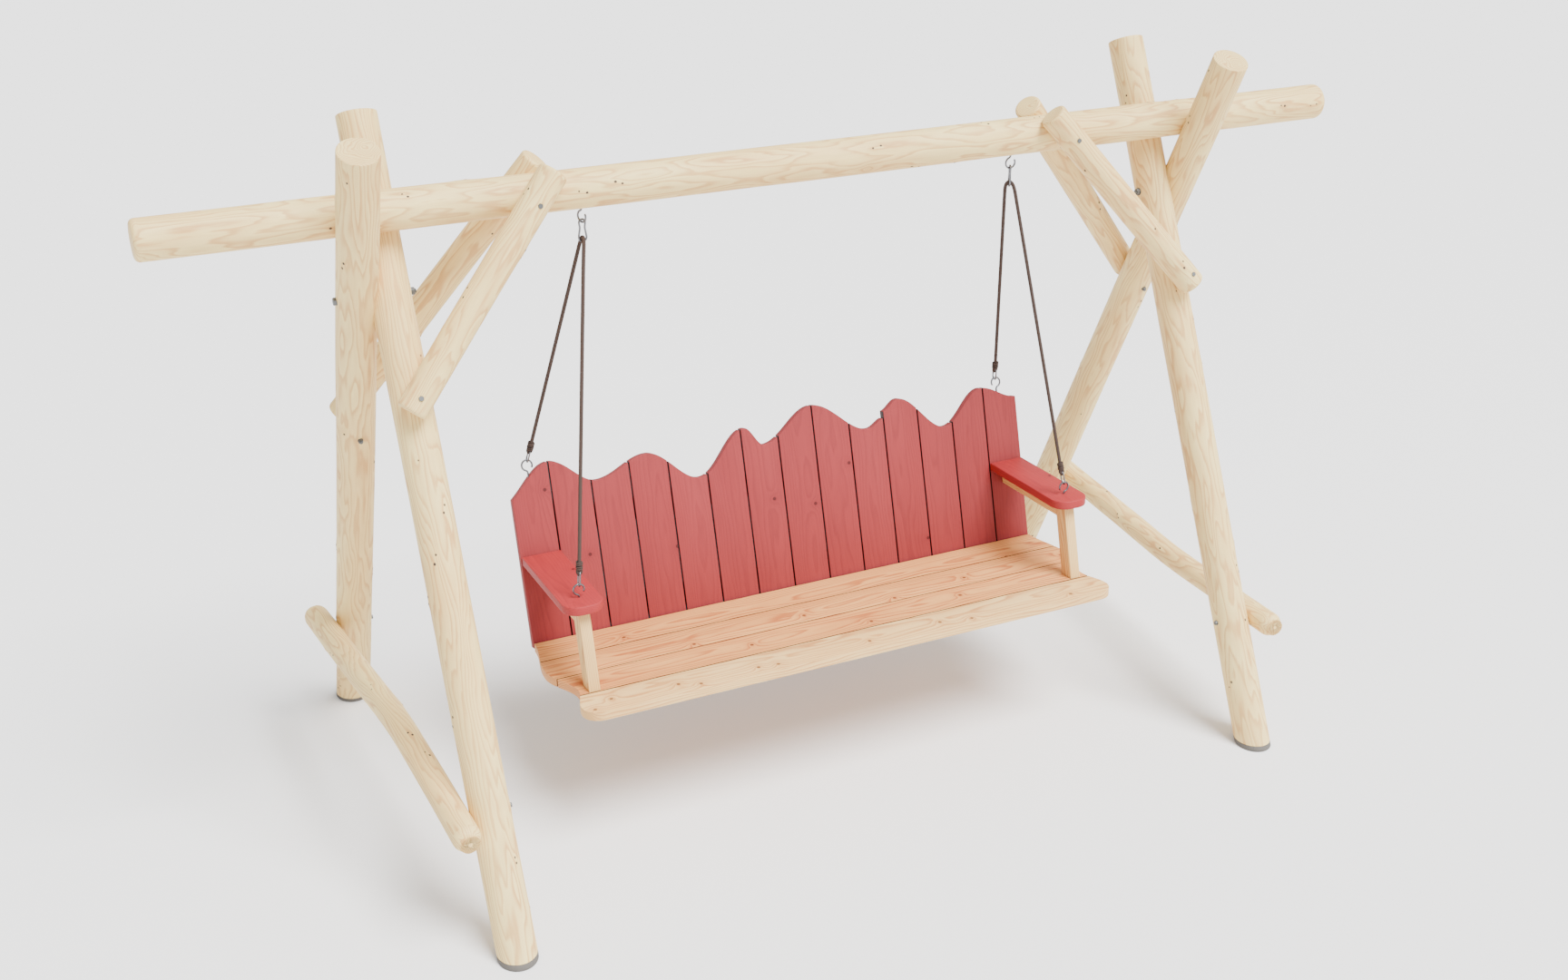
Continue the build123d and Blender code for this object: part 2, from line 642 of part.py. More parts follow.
def make_screws():
    seat, backs, arms = [], [], []
    for name, seam in frame_xs.items():
        x = seam + (stock_w / 2 if name == "right" else -stock_w / 2)
        for index in range(seat_board_count):
            y = -sum(seat_board_depths(index)) / 2
            depth = bearer_depth(y)
            sink = 30 if depth == bearer_h else 5
            place = bench * Pos(x, y, -board_t - depth + sink)
            fix(seat, place, depth - sink + board_t - 6, sink, [f"bearer_{name}", f"seat_board_{index + 1}"])
    for index in range(back_board_count):
        left, right = board_edges(index)
        x = left + board_w / 3 if index % 2 else right - board_w / 3
        for batten, up in zip(("lower", "upper"), batten_up):
            place = back * Pos(x, board_t + batten_t, up + batten_h / 2) * Rot(90, 0, 0)
            fix(backs, place, batten_t + board_t - 7, 1, [f"batten_{batten}", f"back_board_{index + 1:02d}"])
    for name, seam in frame_xs.items():
        x = seam + (-stock_w / 2 if name == "right" else stock_w / 2)
        for batten, up in zip(("lower", "upper"), batten_up):
            place = back * Pos(x, board_t + screw_head_h, up + batten_h * 0.3) * Rot(-90, 0, 0)
            fix(backs, place, batten_t + 30, screw_head_h, [f"batten_{batten}", f"stile_{name}"])
    arm_under = arm_top - board_t
    for side, sign in SIGN.items():
        x = sign * arm_x
        for y in (-40, -200):
            place = bench * Pos(x, y, arm_under - arm_rail_h + 20)
            fix(arms, place, arm_rail_h - 20 + board_t - 6, 20, [f"arm_rail_{side}", f"armrest_{side}"])
        foot_y = post_front + stock_h / 2 / math.cos(math.radians(back_lean))
        place = bench * Pos(x, foot_y - 10, -board_t) * Rot(-back_lean, 0, 0)
        fix(arms, place, board_t + 45, 8, ["seat_board_3", f"arm_post_{side}"])
        rail_up = (arm_under - arm_rail_h / 2) / math.cos(math.radians(back_lean))
        place = back * Pos(x, board_t, rail_up) * Rot(90, 0, 0)
        end_board = 1 if side == "left" else back_board_count
        fix(arms, place, board_t + 40, 1, [f"back_board_{end_board:02d}", f"arm_rail_{side}"])
    parts["seat_screws"] = Compound(children=seat)
    parts["back_screws"] = Compound(children=backs)
    parts["arm_screws"] = Compound(children=arms)


def make_bench_bolts():
    """Two bolts through each bearer and the stile beside it."""
    found = []
    for name, seam in frame_xs.items():
        sign = -1 if name == "right" else 1
        for y, z in ((72, -board_t - 20), (98, -board_t - bearer_h + 18)):
            seat = bench * Pos(seam - sign * stock_w, y, z)
            item = bolt(seat.position, (sign, 0, 0), 2 * stock_w)
            drill([f"bearer_{name}", f"stile_{name}"], [item])
            found.append(item)
    parts["bench_bolts"] = Compound(children=[s for item in found for s in item.solids])


def main():
    make_beam()
    make_legs()
    make_braces()
    make_rails()
    make_brace_bolts()
    make_leg_fasteners()
    make_beam_hooks()
    make_top_links()
    make_back_boards()
    make_seat_boards()
    make_back_frame()
    make_arms()
    make_suspension()
    make_screws()
    make_bench_bolts()
    os.makedirs("parts", exist_ok=True)
    for name, shape in parts.items():
        export_step(shape, f"parts/{name}.step")
    link_low, rope_low = hinge_heights()
    print(f"{len(parts)} nodes; hook hinge at z {link_low:.2f}, rope hinge at z {rope_low:.2f}")


main()
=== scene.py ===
# %% [markdown]
# # A porch swing of peeled poles
# This lesson dresses a measured model of a porch swing. The measured model gives every
# part its place and size and says which parts move together. Our job is the look: round
# poles that are not quite straight, boards with eased edges, braided rope, bright wire.
# Each piece we make takes the place of the plain part that it stands for, and rides with
# the same moving body, so the bench can still swing when the lesson is over.

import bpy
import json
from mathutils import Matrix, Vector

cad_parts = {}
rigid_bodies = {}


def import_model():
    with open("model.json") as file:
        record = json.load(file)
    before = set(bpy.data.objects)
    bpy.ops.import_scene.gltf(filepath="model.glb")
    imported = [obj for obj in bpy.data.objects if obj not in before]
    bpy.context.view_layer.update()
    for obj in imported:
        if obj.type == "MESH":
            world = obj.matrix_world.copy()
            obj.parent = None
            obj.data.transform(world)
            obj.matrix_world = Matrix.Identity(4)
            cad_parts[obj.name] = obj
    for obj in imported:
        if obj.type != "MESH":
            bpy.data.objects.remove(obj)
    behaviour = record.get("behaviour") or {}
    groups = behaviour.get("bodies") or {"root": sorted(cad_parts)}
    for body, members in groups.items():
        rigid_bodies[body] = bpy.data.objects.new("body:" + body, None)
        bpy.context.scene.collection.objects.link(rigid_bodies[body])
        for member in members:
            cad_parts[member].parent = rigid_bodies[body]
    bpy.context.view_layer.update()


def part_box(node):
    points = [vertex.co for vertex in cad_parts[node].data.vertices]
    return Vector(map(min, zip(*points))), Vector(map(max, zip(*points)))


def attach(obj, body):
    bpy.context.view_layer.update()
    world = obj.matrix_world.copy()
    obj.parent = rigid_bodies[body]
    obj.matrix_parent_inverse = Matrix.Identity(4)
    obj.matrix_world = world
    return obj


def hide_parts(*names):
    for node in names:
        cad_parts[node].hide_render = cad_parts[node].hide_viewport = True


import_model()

# %% Tools from Blender and Python
import json
import math
import random

import bmesh
import bpy
from mathutils import Matrix, Vector, noise

random.seed(7)
LEFT_RIGHT = {"left": -1, "right": 1}

# %% [markdown]
# ## The camera
# The swing is seen from the left, from a little over head height, at the distance where
# the whole frame just fits. A lens of about 40 mm keeps the poles from leaning apart as a
# wide lens would make them. We build the camera first, because how large a thing looks
# from there decides how much detail it is worth.

# %% Put the camera on its stand
camera_place = (-2.159, -4.397, 3.050)
camera_turn, camera_tilt = math.radians(-25.38), math.radians(90 - 24.67)

camera_data = bpy.data.cameras.new("camera")
camera_data.lens = 40.43
camera_data.sensor_width = 36
camera = bpy.data.objects.new("camera", camera_data)
camera.location = camera_place
camera.rotation_euler = (camera_tilt, 0, camera_turn)
bpy.context.collection.objects.link(camera)
bpy.context.scene.camera = camera
print("camera looks down", round(90 - math.degrees(camera_tilt), 2), "degrees")

# %% [markdown]
# ## Building finishes out of nodes
# A finish is a small graph of nodes. Two helpers keep the graphs short: one adds a node
# and fills its inputs, the other adds a piece of arithmetic. An input that gets a socket is
# wired, and an input that gets a plain number is set, so plain numbers stay on the shader.

# %% Helpers for node graphs
def tint(red, green, blue):
    """A colour picked on the usual 0 to 255 scale, as the linear colour that shaders need."""
    linear = [((c / 255 + 0.055) / 1.055) ** 2.4 for c in (red, green, blue)]
    return (*linear, 1.0)


def add_node(tree, kind, inputs, **settings):
    made = tree.nodes.new(kind)
    for key, value in settings.items():
        setattr(made, key, value)
    for key, value in inputs.items():
        if isinstance(value, bpy.types.NodeSocket):
            tree.links.new(value, made.inputs[key])
        else:
            made.inputs[key].default_value = value
    return made


def calc(tree, operation, first, second=0.0, third=0.0):
    inputs = {0: first, 1: second, 2: third}
    return add_node(tree, "ShaderNodeMath", inputs, operation=operation).outputs[0]


def mix_colour(tree, share, first, second, blend="MIX"):
    made = add_node(tree, "ShaderNodeMix", {}, data_type="RGBA", blend_type=blend)
    for socket, value in zip([made.inputs[0], made.inputs[6], made.inputs[7]], [share, first, second]):
        if isinstance(value, bpy.types.NodeSocket):
            tree.links.new(value, socket)
        else:
            socket.default_value = value
    return made.outputs[2]


def soft_noise(tree, place, stretch, scale, detail=2.0):
    """Noise from 0 to 1 whose spots are drawn out by dividing the place along the grain."""
    squeezed = add_node(tree, "ShaderNodeVectorMath", {0: place, 1: stretch}, operation="MULTIPLY")
    inputs = {"Vector": squeezed.outputs[0], "Scale": scale, "Detail": detail}
    return add_node(tree, "ShaderNodeTexNoise", inputs).outputs["Fac"]


def new_finish(name):
    finish = bpy.data.materials.new(name)
    finish.use_nodes = True
    return finish, finish.node_tree, finish.node_tree.nodes["Principled BSDF"]


print("node helpers are ready")

# %% [markdown]
# ## Wood that grows in rings
# A tree adds one ring a year, pale early wood and then a thin darker line. Everything we
# see on a pole or a board is that stack of rings cut by a surface: circles on an end,
# long flames along a side. So the finish asks how far a point is from the heart of the
# tree, lets slow noise push the rings about, and draws one dark line per ring. Painting
# streaks along the surface would be easier, but the ends would look wrong. Each piece
# carries its own grain places, counted from the heart of its tree, so the flames stay in
# the wood when the piece moves.

# %% The wood finish
def ring_wood(name, pale, late, flush, ring=0.0055, drift=0.03, knots=6.5, roughness=0.55, show=1.0,
              sawn=True):
    """pale early wood, late ring lines and flush for warm areas; knots is how many per metre.

    A knot is a branch, so in a sawn board it runs right through from face to face.
    """
    finish, tree, shader = new_finish(name)
    place = add_node(tree, "ShaderNodeAttribute", {}, attribute_name="grain_at").outputs["Vector"]
    parts = add_node(tree, "ShaderNodeSeparateXYZ", {0: place})
    flat = add_node(tree, "ShaderNodeCombineXYZ", {0: parts.outputs[0], 1: parts.outputs[1]})
    from_heart = add_node(tree, "ShaderNodeVectorMath", {0: flat.outputs[0]}, operation="LENGTH")
    from_heart = from_heart.outputs["Value"]

    slow = soft_noise(tree, place, (1, 1, 0.16), 17, 1.5)
    quick = soft_noise(tree, place, (1, 1, 0.12), 70, 2)
    pushed = calc(tree, "MULTIPLY_ADD", slow, drift, from_heart)
    pushed = calc(tree, "MULTIPLY_ADD", quick, drift * 0.1, pushed)

    spots = add_node(tree, "ShaderNodeCombineXYZ", {0: parts.outputs[0], 1: parts.outputs[2]}).outputs[0]
    cells = add_node(tree, "ShaderNodeTexVoronoi", {"Vector": spots if sawn else place, "Scale": knots},
                     voronoi_dimensions="2D" if sawn else "3D")
    chosen = add_node(tree, "ShaderNodeSeparateColor", {0: cells.outputs["Color"]}).outputs[0]
    chosen = calc(tree, "GREATER_THAN", chosen, 0.52)
    away = calc(tree, "DIVIDE", cells.outputs["Distance"], knots)
    near = calc(tree, "EXPONENT", calc(tree, "MULTIPLY", away, -75))
    near = calc(tree, "MULTIPLY", near, chosen)
    pushed = calc(tree, "MULTIPLY_ADD", near, 0.02, pushed)

    turns = calc(tree, "FRACT", calc(tree, "DIVIDE", pushed, ring))
    line = add_node(tree, "ShaderNodeValToRGB", {0: turns})
    line.color_ramp.interpolation = "EASE"
    stops = line.color_ramp.elements
    stops[0].color, stops[1].color = (0, 0, 0, 1), (0.05, 0.05, 0.05, 1)
    for position, level in ((0.45, 0.2), (0.84, 1.0)):
        stops.new(position).color = (level, level, level, 1)
    fibre = soft_noise(tree, place, (1, 1, 0.025), 520, 3)
    patch = soft_noise(tree, place, (1, 1, 0.35), 9, 2)

    colour = mix_colour(tree, calc(tree, "MULTIPLY", patch, 0.9), pale, flush)
    shown = calc(tree, "MULTIPLY_ADD", slow, 0.5 * show, 0.28 * show)
    strength = calc(tree, "MULTIPLY", line.outputs[0], shown)
    colour = mix_colour(tree, strength, colour, late)
    fibre_level = calc(tree, "MULTIPLY_ADD", fibre, 0.22, 0.89)
    fibre_grey = add_node(tree, "ShaderNodeCombineColor", {0: fibre_level, 1: fibre_level, 2: fibre_level})
    colour = mix_colour(tree, 1.0, colour, fibre_grey.outputs[0], "MULTIPLY")
    halo = calc(tree, "MULTIPLY", near, 0.55)
    colour = mix_colour(tree, halo, colour, late)
    core = calc(tree, "MULTIPLY", calc(tree, "LESS_THAN", away, 0.0055), chosen)
    dark = tuple(0.3 * c for c in late[:3]) + (1.0,)
    colour = mix_colour(tree, calc(tree, "MULTIPLY", core, 0.8), colour, dark)

    height = calc(tree, "MULTIPLY_ADD", line.outputs[0], 0.5, fibre)
    bump = add_node(tree, "ShaderNodeBump", {"Strength": 0.22, "Distance": 0.0006, "Height": height})
    tree.links.new(colour, shader.inputs["Base Color"])
    tree.links.new(bump.outputs[0], shader.inputs["Normal"])
    shader.inputs["Roughness"].default_value = roughness
    shader.inputs["Specular IOR Level"].default_value = 0.3
    return finish


pole_wood = ring_wood(
    "pole_wood", pale=tint(246, 228, 160), late=tint(194, 134, 76), flush=tint(230, 188, 118),
    ring=0.007, drift=0.07, knots=5, show=1.1, sawn=False)
seat_wood = ring_wood(
    "seat_wood", pale=tint(230, 172, 104), late=tint(168, 84, 42), flush=tint(206, 134, 72),
    ring=0.007, drift=0.035, knots=6, show=1.4)
front_wood = ring_wood(
    "front_wood", pale=tint(244, 212, 146), late=tint(186, 116, 62), flush=tint(222, 172, 104),
    ring=0.007, drift=0.035, knots=8, show=1.2)
lath_wood = ring_wood(
    "lath_wood", pale=tint(244, 218, 150), late=tint(184, 118, 64), flush=tint(220, 172, 104),
    knots=7, show=1.2)
red_wood = ring_wood(
    "red_wood", pale=tint(148, 52, 54), late=tint(112, 34, 38), flush=tint(132, 42, 45),
    ring=0.006, drift=0.03, knots=5, roughness=0.65, show=0.6)
red_arm_wood = ring_wood(
    "red_arm_wood", pale=tint(166, 46, 48), late=tint(124, 32, 36), flush=tint(148, 38, 42),
    ring=0.006, drift=0.03, knots=3, roughness=0.6, show=0.6)
# The two darker finishes below are painted shade for board sides that face a narrow gap, where little light
# gets in; the real sides are no darker.
seat_gap_shade = ring_wood("seat_gap_shade", tint(96, 58, 34), tint(70, 38, 22), tint(84, 50, 28))
red_gap_shade = ring_wood("red_gap_shade", tint(52, 16, 16), tint(36, 10, 10), tint(44, 13, 13))
knot_heart, _, knot_shader = new_finish("knot_heart")
knot_shader.inputs["Base Color"].default_value = tint(72, 58, 48)
knot_shader.inputs["Roughness"].default_value = 0.7
woods = (pole_wood, seat_wood, front_wood, lath_wood, red_wood, red_arm_wood, seat_gap_shade, red_gap_shade, knot_heart)
print("wood finishes:", [m.name for m in woods])

# %% [markdown]
# ## Steel, rope and rubber
# The hooks and links are drawn steel wire: a bright metal with fine marks along it. The
# bolt heads are zinc plated and have gone dull. The rope is a braid of dark brown fibre,
# and the feet stand on moulded rubber. A little noise in the roughness and the
# colour is what tells the eye that each of them is real.

# %% Finishes for the small parts
def metal_finish(name, colour, roughness):
    finish, tree, shader = new_finish(name)
    where = add_node(tree, "ShaderNodeTexCoord", {}).outputs["Object"]
    marks = soft_noise(tree, where, (1, 1, 1), 900, 3)
    rough = calc(tree, "MULTIPLY_ADD", marks, 0.25, roughness - 0.12)
    tree.links.new(rough, shader.inputs["Roughness"])
    patches = soft_noise(tree, where, (1, 1, 1), 140, 2)
    worn = tuple(0.72 * c for c in colour[:3]) + (1.0,)
    tree.links.new(mix_colour(tree, patches, colour, worn), shader.inputs["Base Color"])
    shader.inputs["Metallic"].default_value = 1.0
    return finish


def fibre_finish(name, colour, pale, roughness, scale):
    finish, tree, shader = new_finish(name)
    where = add_node(tree, "ShaderNodeTexCoord", {}).outputs["Object"]
    speck = soft_noise(tree, where, (1, 1, 1), scale, 4)
    tree.links.new(mix_colour(tree, speck, colour, pale), shader.inputs["Base Color"])
    bump = add_node(tree, "ShaderNodeBump", {"Strength": 0.4, "Distance": 0.0004, "Height": speck})
    tree.links.new(bump.outputs[0], shader.inputs["Normal"])
    shader.inputs["Roughness"].default_value = roughness
    return finish


bright_wire = metal_finish("bright_wire", tint(128, 128, 132), 0.34)
dull_zinc = metal_finish("dull_zinc", tint(120, 122, 122), 0.5)
brown_braid = fibre_finish("brown_braid", tint(52, 38, 33), tint(70, 54, 47), 0.9, 700)
foot_rubber = fibre_finish("foot_rubber", tint(84, 80, 76), tint(104, 100, 94), 0.75, 300)
print("other finishes:", [m.name for m in (bright_wire, dull_zinc, brown_braid, foot_rubber)])

# %% [markdown]
# ## One way to finish every piece
# Each piece goes through the same last steps: it becomes an object, its normals are
# smoothed except at real corners, it rides with a body of the measured model, it takes the
# finishes that it is given, and the plain part that it stands for is hidden.

# %% Helpers for pieces
def new_piece(name, verts, faces, finishes, body, nodes, smooth=35):
    mesh = bpy.data.meshes.new(name)
    mesh.from_pydata([tuple(v) for v in verts], [], faces)
    return dress(name, mesh, finishes, body, nodes, smooth)


def dress(name, mesh, finishes, body, nodes, smooth=35):
    mesh.validate()
    for finish in finishes:
        mesh.materials.append(finish)
    mesh.shade_smooth()
    mesh.set_sharp_from_angle(angle=math.radians(smooth))
    piece = bpy.data.objects.new(name, mesh)
    bpy.context.collection.objects.link(piece)
    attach(piece, body)
    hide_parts(*nodes)
    return piece


def set_grain(mesh, places):
    """Write each vertex's place in its tree: across, across, and along the trunk."""
    grain = mesh.attributes.new("grain_at", "FLOAT_VECTOR", "POINT")
    grain.data.foreach_set("vector", [c for place in places for c in place])


print("piece helpers are ready")

# %% [markdown]
# ## Poles
# The frame is made of young trunks with the bark peeled off. They are nearly round and
# nearly straight, and the eye notices both halves of that: a perfect cylinder looks like
# plastic pipe. We wrap rings of points round the trunk's middle line, let slow noise move
# the line and the radius by a millimetre or two, and raise a soft bump at each knot with a
# small dark heart in it. The ends are sawn and their edges taken off with a knife.

# %% A pole from rings of points
ring_points = 56
ring_step = 0.012


def middle_line(points, step):
    """Points at even steps along a bent line whose bends are eased."""
    points = [Vector(p) for p in points]
    total = sum((b - a).length for a, b in zip(points, points[1:]))
    count = max(8, round(total / step))
    reach = 0.10 if len(points) > 2 else 0.0

    def at(distance):
        for a, b in zip(points, points[1:]):
            span = (b - a).length
            if distance <= span or b is points[-1]:
                return a + (b - a) * (distance / span)
            distance -= span

    line = []
    for k in range(count + 1):
        s = total * k / count
        spread = min(reach, s, total - s)
        window = [at(s + spread * j / 6) for j in range(-6, 7)]
        line.append(sum(window, Vector()) / len(window))
    return line, total


def knots_for(length, seed, per_metre=14):
    """Pairs of knots round a trunk: how far along, the angle, and the size."""
    dice = random.Random(seed)
    found = []
    for k in range(round(length * per_metre / 2)):
        along = (k + dice.uniform(0.2, 0.8)) * length / max(1, round(length * per_metre / 2))
        angle = dice.uniform(0, math.tau)
        for pair in range(dice.choice((1, 2, 2))):
            found.append((along + pair * dice.uniform(0.012, 0.03), angle + pair * dice.uniform(-0.25, 0.25),
                          dice.uniform(0.0026, 0.0046)))
    return [k for k in found if 0.03 < k[0] < length - 0.03]


def pole(name, nodes, points, radius, seed, cut=(0.002, 0.002), wander=0.0022, uneven=0.012, club=0.0):
    """A peeled trunk along points. cut is how far each end's edge is taken off."""
    line, length = middle_line(points, ring_step)
    step = length / (len(line) - 1)
    shift = Vector((seed * 3.17, seed * 1.31, seed * 7.77))
    knots = knots_for(length, seed)
    axis = (line[-1] - line[0]).normalized()
    side = Vector((1, 0, 0)) if abs(axis.x) < 0.7 else Vector((0, 1, 0))
    heart = radius * (0.30 + 0.15 * math.sin(seed)), radius * 0.35 * math.cos(seed * 1.9)

    def girth(s, angle):
        """The trunk's radius there, knots and all."""
        around = Vector((math.cos(angle), math.sin(angle), s * 2.2)) * 0.9 + shift
        r = radius * (1 + uneven * noise.noise(around) + 0.5 * uneven * noise.noise(around * 2.7))
        r += club * radius * math.exp(-((length - s) / 0.10) ** 2)
        for along, turn, size in knots:
            gap = (angle - turn + math.pi) % math.tau - math.pi
            if abs(s - along) < 0.06 and abs(gap) < 1.2:
                r += size * 0.4 * math.exp(-((gap * radius) ** 2 + (0.7 * (s - along)) ** 2) / 0.011**2)
        return r

    def station(k):
        ahead = line[min(k + 1, len(line) - 1)] - line[max(k - 1, 0)]
        forward = ahead.normalized()
        u = (side - forward * side.dot(forward)).normalized()
        s = k * step
        lean = min(1.0, s / 0.25, (length - s) / 0.25)
        wobble = [wander * lean * noise.noise(Vector((s * 1.7, 9.1 * j, 0)) + shift) for j in (1, 2)]
        v = forward.cross(u)
        return line[k] + u * wobble[0] + v * wobble[1], u, v, forward, s

    verts, places, rings = [], [], []

    def add_ring(k, s, inset, forward_by=0.0):
        centre, u, v, forward, _ = station(k)
        ring = []
        for j in range(ring_points):
            angle = math.tau * j / ring_points
            r = max(0.0, girth(s, angle) - inset)
            a, b = r * math.cos(angle), r * math.sin(angle)
            ring.append(len(verts))
            verts.append(centre + u * a + v * b + forward * forward_by)
            places.append((a - heart[0], b - heart[1], s + seed * 5.3))
        rings.append(ring)

    rounds = 5
    last = len(line) - 1
    for share in (0.03, 0.35, 0.7):  # the sawn face, in rings, so that it shades flat
        add_ring(0, 0.0, radius * (1 - share))
    for j in range(rounds + 1):
        turn = math.pi / 2 * j / rounds
        add_ring(0, 0.0, cut[0] * (1 - math.sin(turn)), cut[0] * (1 - math.cos(turn)))
    for k in range(1, last):
        if cut[0] < k * step < length - cut[1]:
            add_ring(k, k * step, 0.0)
    for j in range(rounds, -1, -1):
        turn = math.pi / 2 * j / rounds
        add_ring(last, length, cut[1] * (1 - math.sin(turn)), -cut[1] * (1 - math.cos(turn)))
    for share in (0.7, 0.35, 0.03):
        add_ring(last, length, radius * (1 - share))

    faces = [(a[j], a[(j + 1) % ring_points], b[(j + 1) % ring_points], b[j])
             for a, b in zip(rings, rings[1:]) for j in range(ring_points)]
    faces += [tuple(reversed(rings[0])), tuple(rings[-1])]
    plain = len(faces)
    for along, turn, size in knots:
        k = min(last, round(along / step))
        centre, u, v, forward, _ = station(k)
        out = u * math.cos(turn) + v * math.sin(turn)
        top = centre + forward * (along - k * step) + out * (girth(along, turn) + 0.0003)
        over = out.cross(forward)
        first = len(verts)
        verts.append(top)
        for spread, sink in ((0.7, 0.0002), (1.0, 0.0016)):
            for j in range(12):
                a = math.tau * j / 12
                wide, long = size * spread * math.cos(a), 1.25 * size * spread * math.sin(a)
                verts.append(top + over * wide + forward * long - out * sink)
        places += [(0.0, 0.0, 0.0)] * 25
        ring = [first + 1 + j for j in range(12)]
        for j in range(12):
            n = (j + 1) % 12
            faces.append((first, ring[j], ring[n]))
            faces.append((ring[j], ring[j] + 12, ring[n] + 12, ring[n]))

    mesh = bpy.data.meshes.new(name)
    mesh.from_pydata([tuple(v) for v in verts], [], faces)
    set_grain(mesh, places)
    mesh.polygons.foreach_set("material_index", [0] * plain + [1] * (len(faces) - plain))
    made = dress(name, mesh, [pole_wood, knot_heart], "frame", nodes, smooth=50)
    print(f"{name}: {length:.3f} m, {len(knots)} knots")
    return made


# %% [markdown]
# ## The beam and the legs
# The beam lies level. Each end is held by two legs that cross like scissors just under
# it: the front leg passes behind the beam and the back leg passes in front, so the beam
# sits in the fork. We take the beam's line from the measured part's box, and each leg's
# line from its foot and its slope.

# %% Raise the beam
low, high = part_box("beam")
beam_height = (low.z + high.z) / 2
beam_radius = (high.z - low.z) / 2
beam_ends = [(low.x, 0, beam_height), (high.x, 0, beam_height)]
pole("beam_log", ["beam"], beam_ends, beam_radius, 1, cut=(0.014, 0.014))

# %% Raise the legs
foot_reach, leg_pass, leg_rise = 0.759, 0.105, 0.209
pad_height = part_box("foot_pads")[1].z


def leg_line(side, foot):
    """The foot and the upward direction of a leg's middle line."""
    low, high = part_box(f"leg_{foot}_{side}")
    y = -1 if foot == "front" else 1
    start = Vector(((low.x + high.x) / 2, y * foot_reach, 0))
    return start, Vector((0, -y * (foot_reach + leg_pass), beam_height)).normalized()


def pole_with_flat_foot(name, node, side, foot, seed):
    """A leg, and then its lowest points slid along it to the level of its rubber pad."""
    start, up = leg_line(side, foot)
    top = start + up * ((beam_height + leg_rise) / up.z)
    base = start + up * (pad_height / up.z)
    leg = pole(name, [node], [base, top], beam_radius, seed, cut=(0.001, 0.003))
    reach = 0.12
    matrix = leg.matrix_world
    for vertex in leg.data.vertices:
        point = matrix @ vertex.co
        along = (point - base).dot(up)
        if along < reach:
            across = point - base - up * along
            slide = -across.z / up.z * (1 - max(0.0, along) / reach)
            point += up * slide
            vertex.co = matrix.inverted() @ point
    return leg


for number, (side, foot) in enumerate((s, f) for s in LEFT_RIGHT for f in ("front", "back")):
    pole_with_flat_foot(f"leg_log_{foot}_{side}", f"leg_{foot}_{side}", side, foot, 2 + number)

# %% [markdown]
# ## Braces and low rails
# Four braces run from the beam down to the legs and stop the frame from racking. They are
# thinner trunks, let a little into the poles they cross. The two low rails lie outside the
# legs and were left as crooked as they grew. Both are the same trunk as before with other
# points, so we only work out where their lines run.

# %% Fix the braces
brace_radius, brace_let_in, brace_cross = 0.041, 0.008, 0.828
brace_over, brace_under = 0.095, 0.036
brace_drop = {("left", "front"): 0.446, ("right", "front"): 0.446,
              ("left", "back"): 0.621, ("right", "back"): 0.531}


def brace_ends(side, face):
    """Where a brace's line passes the beam, and where it passes its leg."""
    y = -1 if face == "front" else 1
    start, up = leg_line(side, face)
    drop = brace_drop[side, face]
    on_leg = start + up * ((beam_height - drop) / up.z)
    proud = beam_radius + brace_radius - brace_let_in
    on_beam = Vector((LEFT_RIGHT[side] * brace_cross, y * proud, beam_height))
    return on_beam, on_leg + Vector((0, y * proud / up.z, 0))


for number, (side, face) in enumerate(brace_drop):
    top, low = brace_ends(side, face)
    down = (low - top).normalized()
    ends = [top - down * brace_over, low + down * brace_under]
    pole(f"brace_log_{face}_{side}", [f"brace_{face}_{side}"], ends, brace_radius, 10 + number,
         cut=(0.008, 0.009), wander=0.0018)

# %% Lay the crooked low rails
rail_radius, rail_level, rail_bend = 0.038, 0.358, -0.130
rail_bow = {"left": 0.052, "right": -0.022}
rail_clear, rail_past_leg = 0.0006, 0.112
for number, side in enumerate(LEFT_RIGHT):
    sign, crossing = LEFT_RIGHT[side], {}
    for foot in ("back", "front"):
        start, up = leg_line(side, foot)
        outside = sign * (beam_radius + rail_radius + rail_clear)
        crossing[foot] = start + up * (rail_level / up.z) + Vector((outside, 0, 0))
    share = (rail_bend - crossing["back"].y) / (crossing["front"].y - crossing["back"].y)
    bend = crossing["back"].lerp(crossing["front"], share) + Vector((0, 0, rail_bow[side]))
    ends = {foot: at + (at - bend).normalized() * rail_past_leg for foot, at in crossing.items()}
    route = [ends["back"], bend, ends["front"]]
    pole(f"low_rail_log_{side}", [f"low_rail_{side}"], route, rail_radius, 20 + number,
         cut=(0.028, 0.032), wander=0.003, uneven=0.03)

# %% [markdown]
# ## Rubber feet
# End grain drinks water, so each leg stands on a rubber disc. The leg leans, and the disc
# is cut to the leg's own slanting outline. Rings of points with a small rounded edge make
# one disc; four of them are one piece, because they are the same part bought four times.

# %% Cut the rubber feet
def gather(shapes):
    """Join lists of (points, faces) into one."""
    verts, faces = [], []
    for points, loops in shapes:
        faces += [tuple(len(verts) + i for i in loop) for loop in loops]
        verts += points
    return verts, faces


def ring_faces(count, sides, closed=False):
    """Faces between rings of points, with a face over each end unless the rings close."""
    faces = []
    for k in range(count if closed else count - 1):
        n = (k + 1) % count
        faces += [(k * sides + j, k * sides + (j + 1) % sides, n * sides + (j + 1) % sides, n * sides + j)
                  for j in range(sides)]
    if not closed:
        faces += [tuple(reversed(range(sides))), tuple((count - 1) * sides + j for j in range(sides))]
    return faces


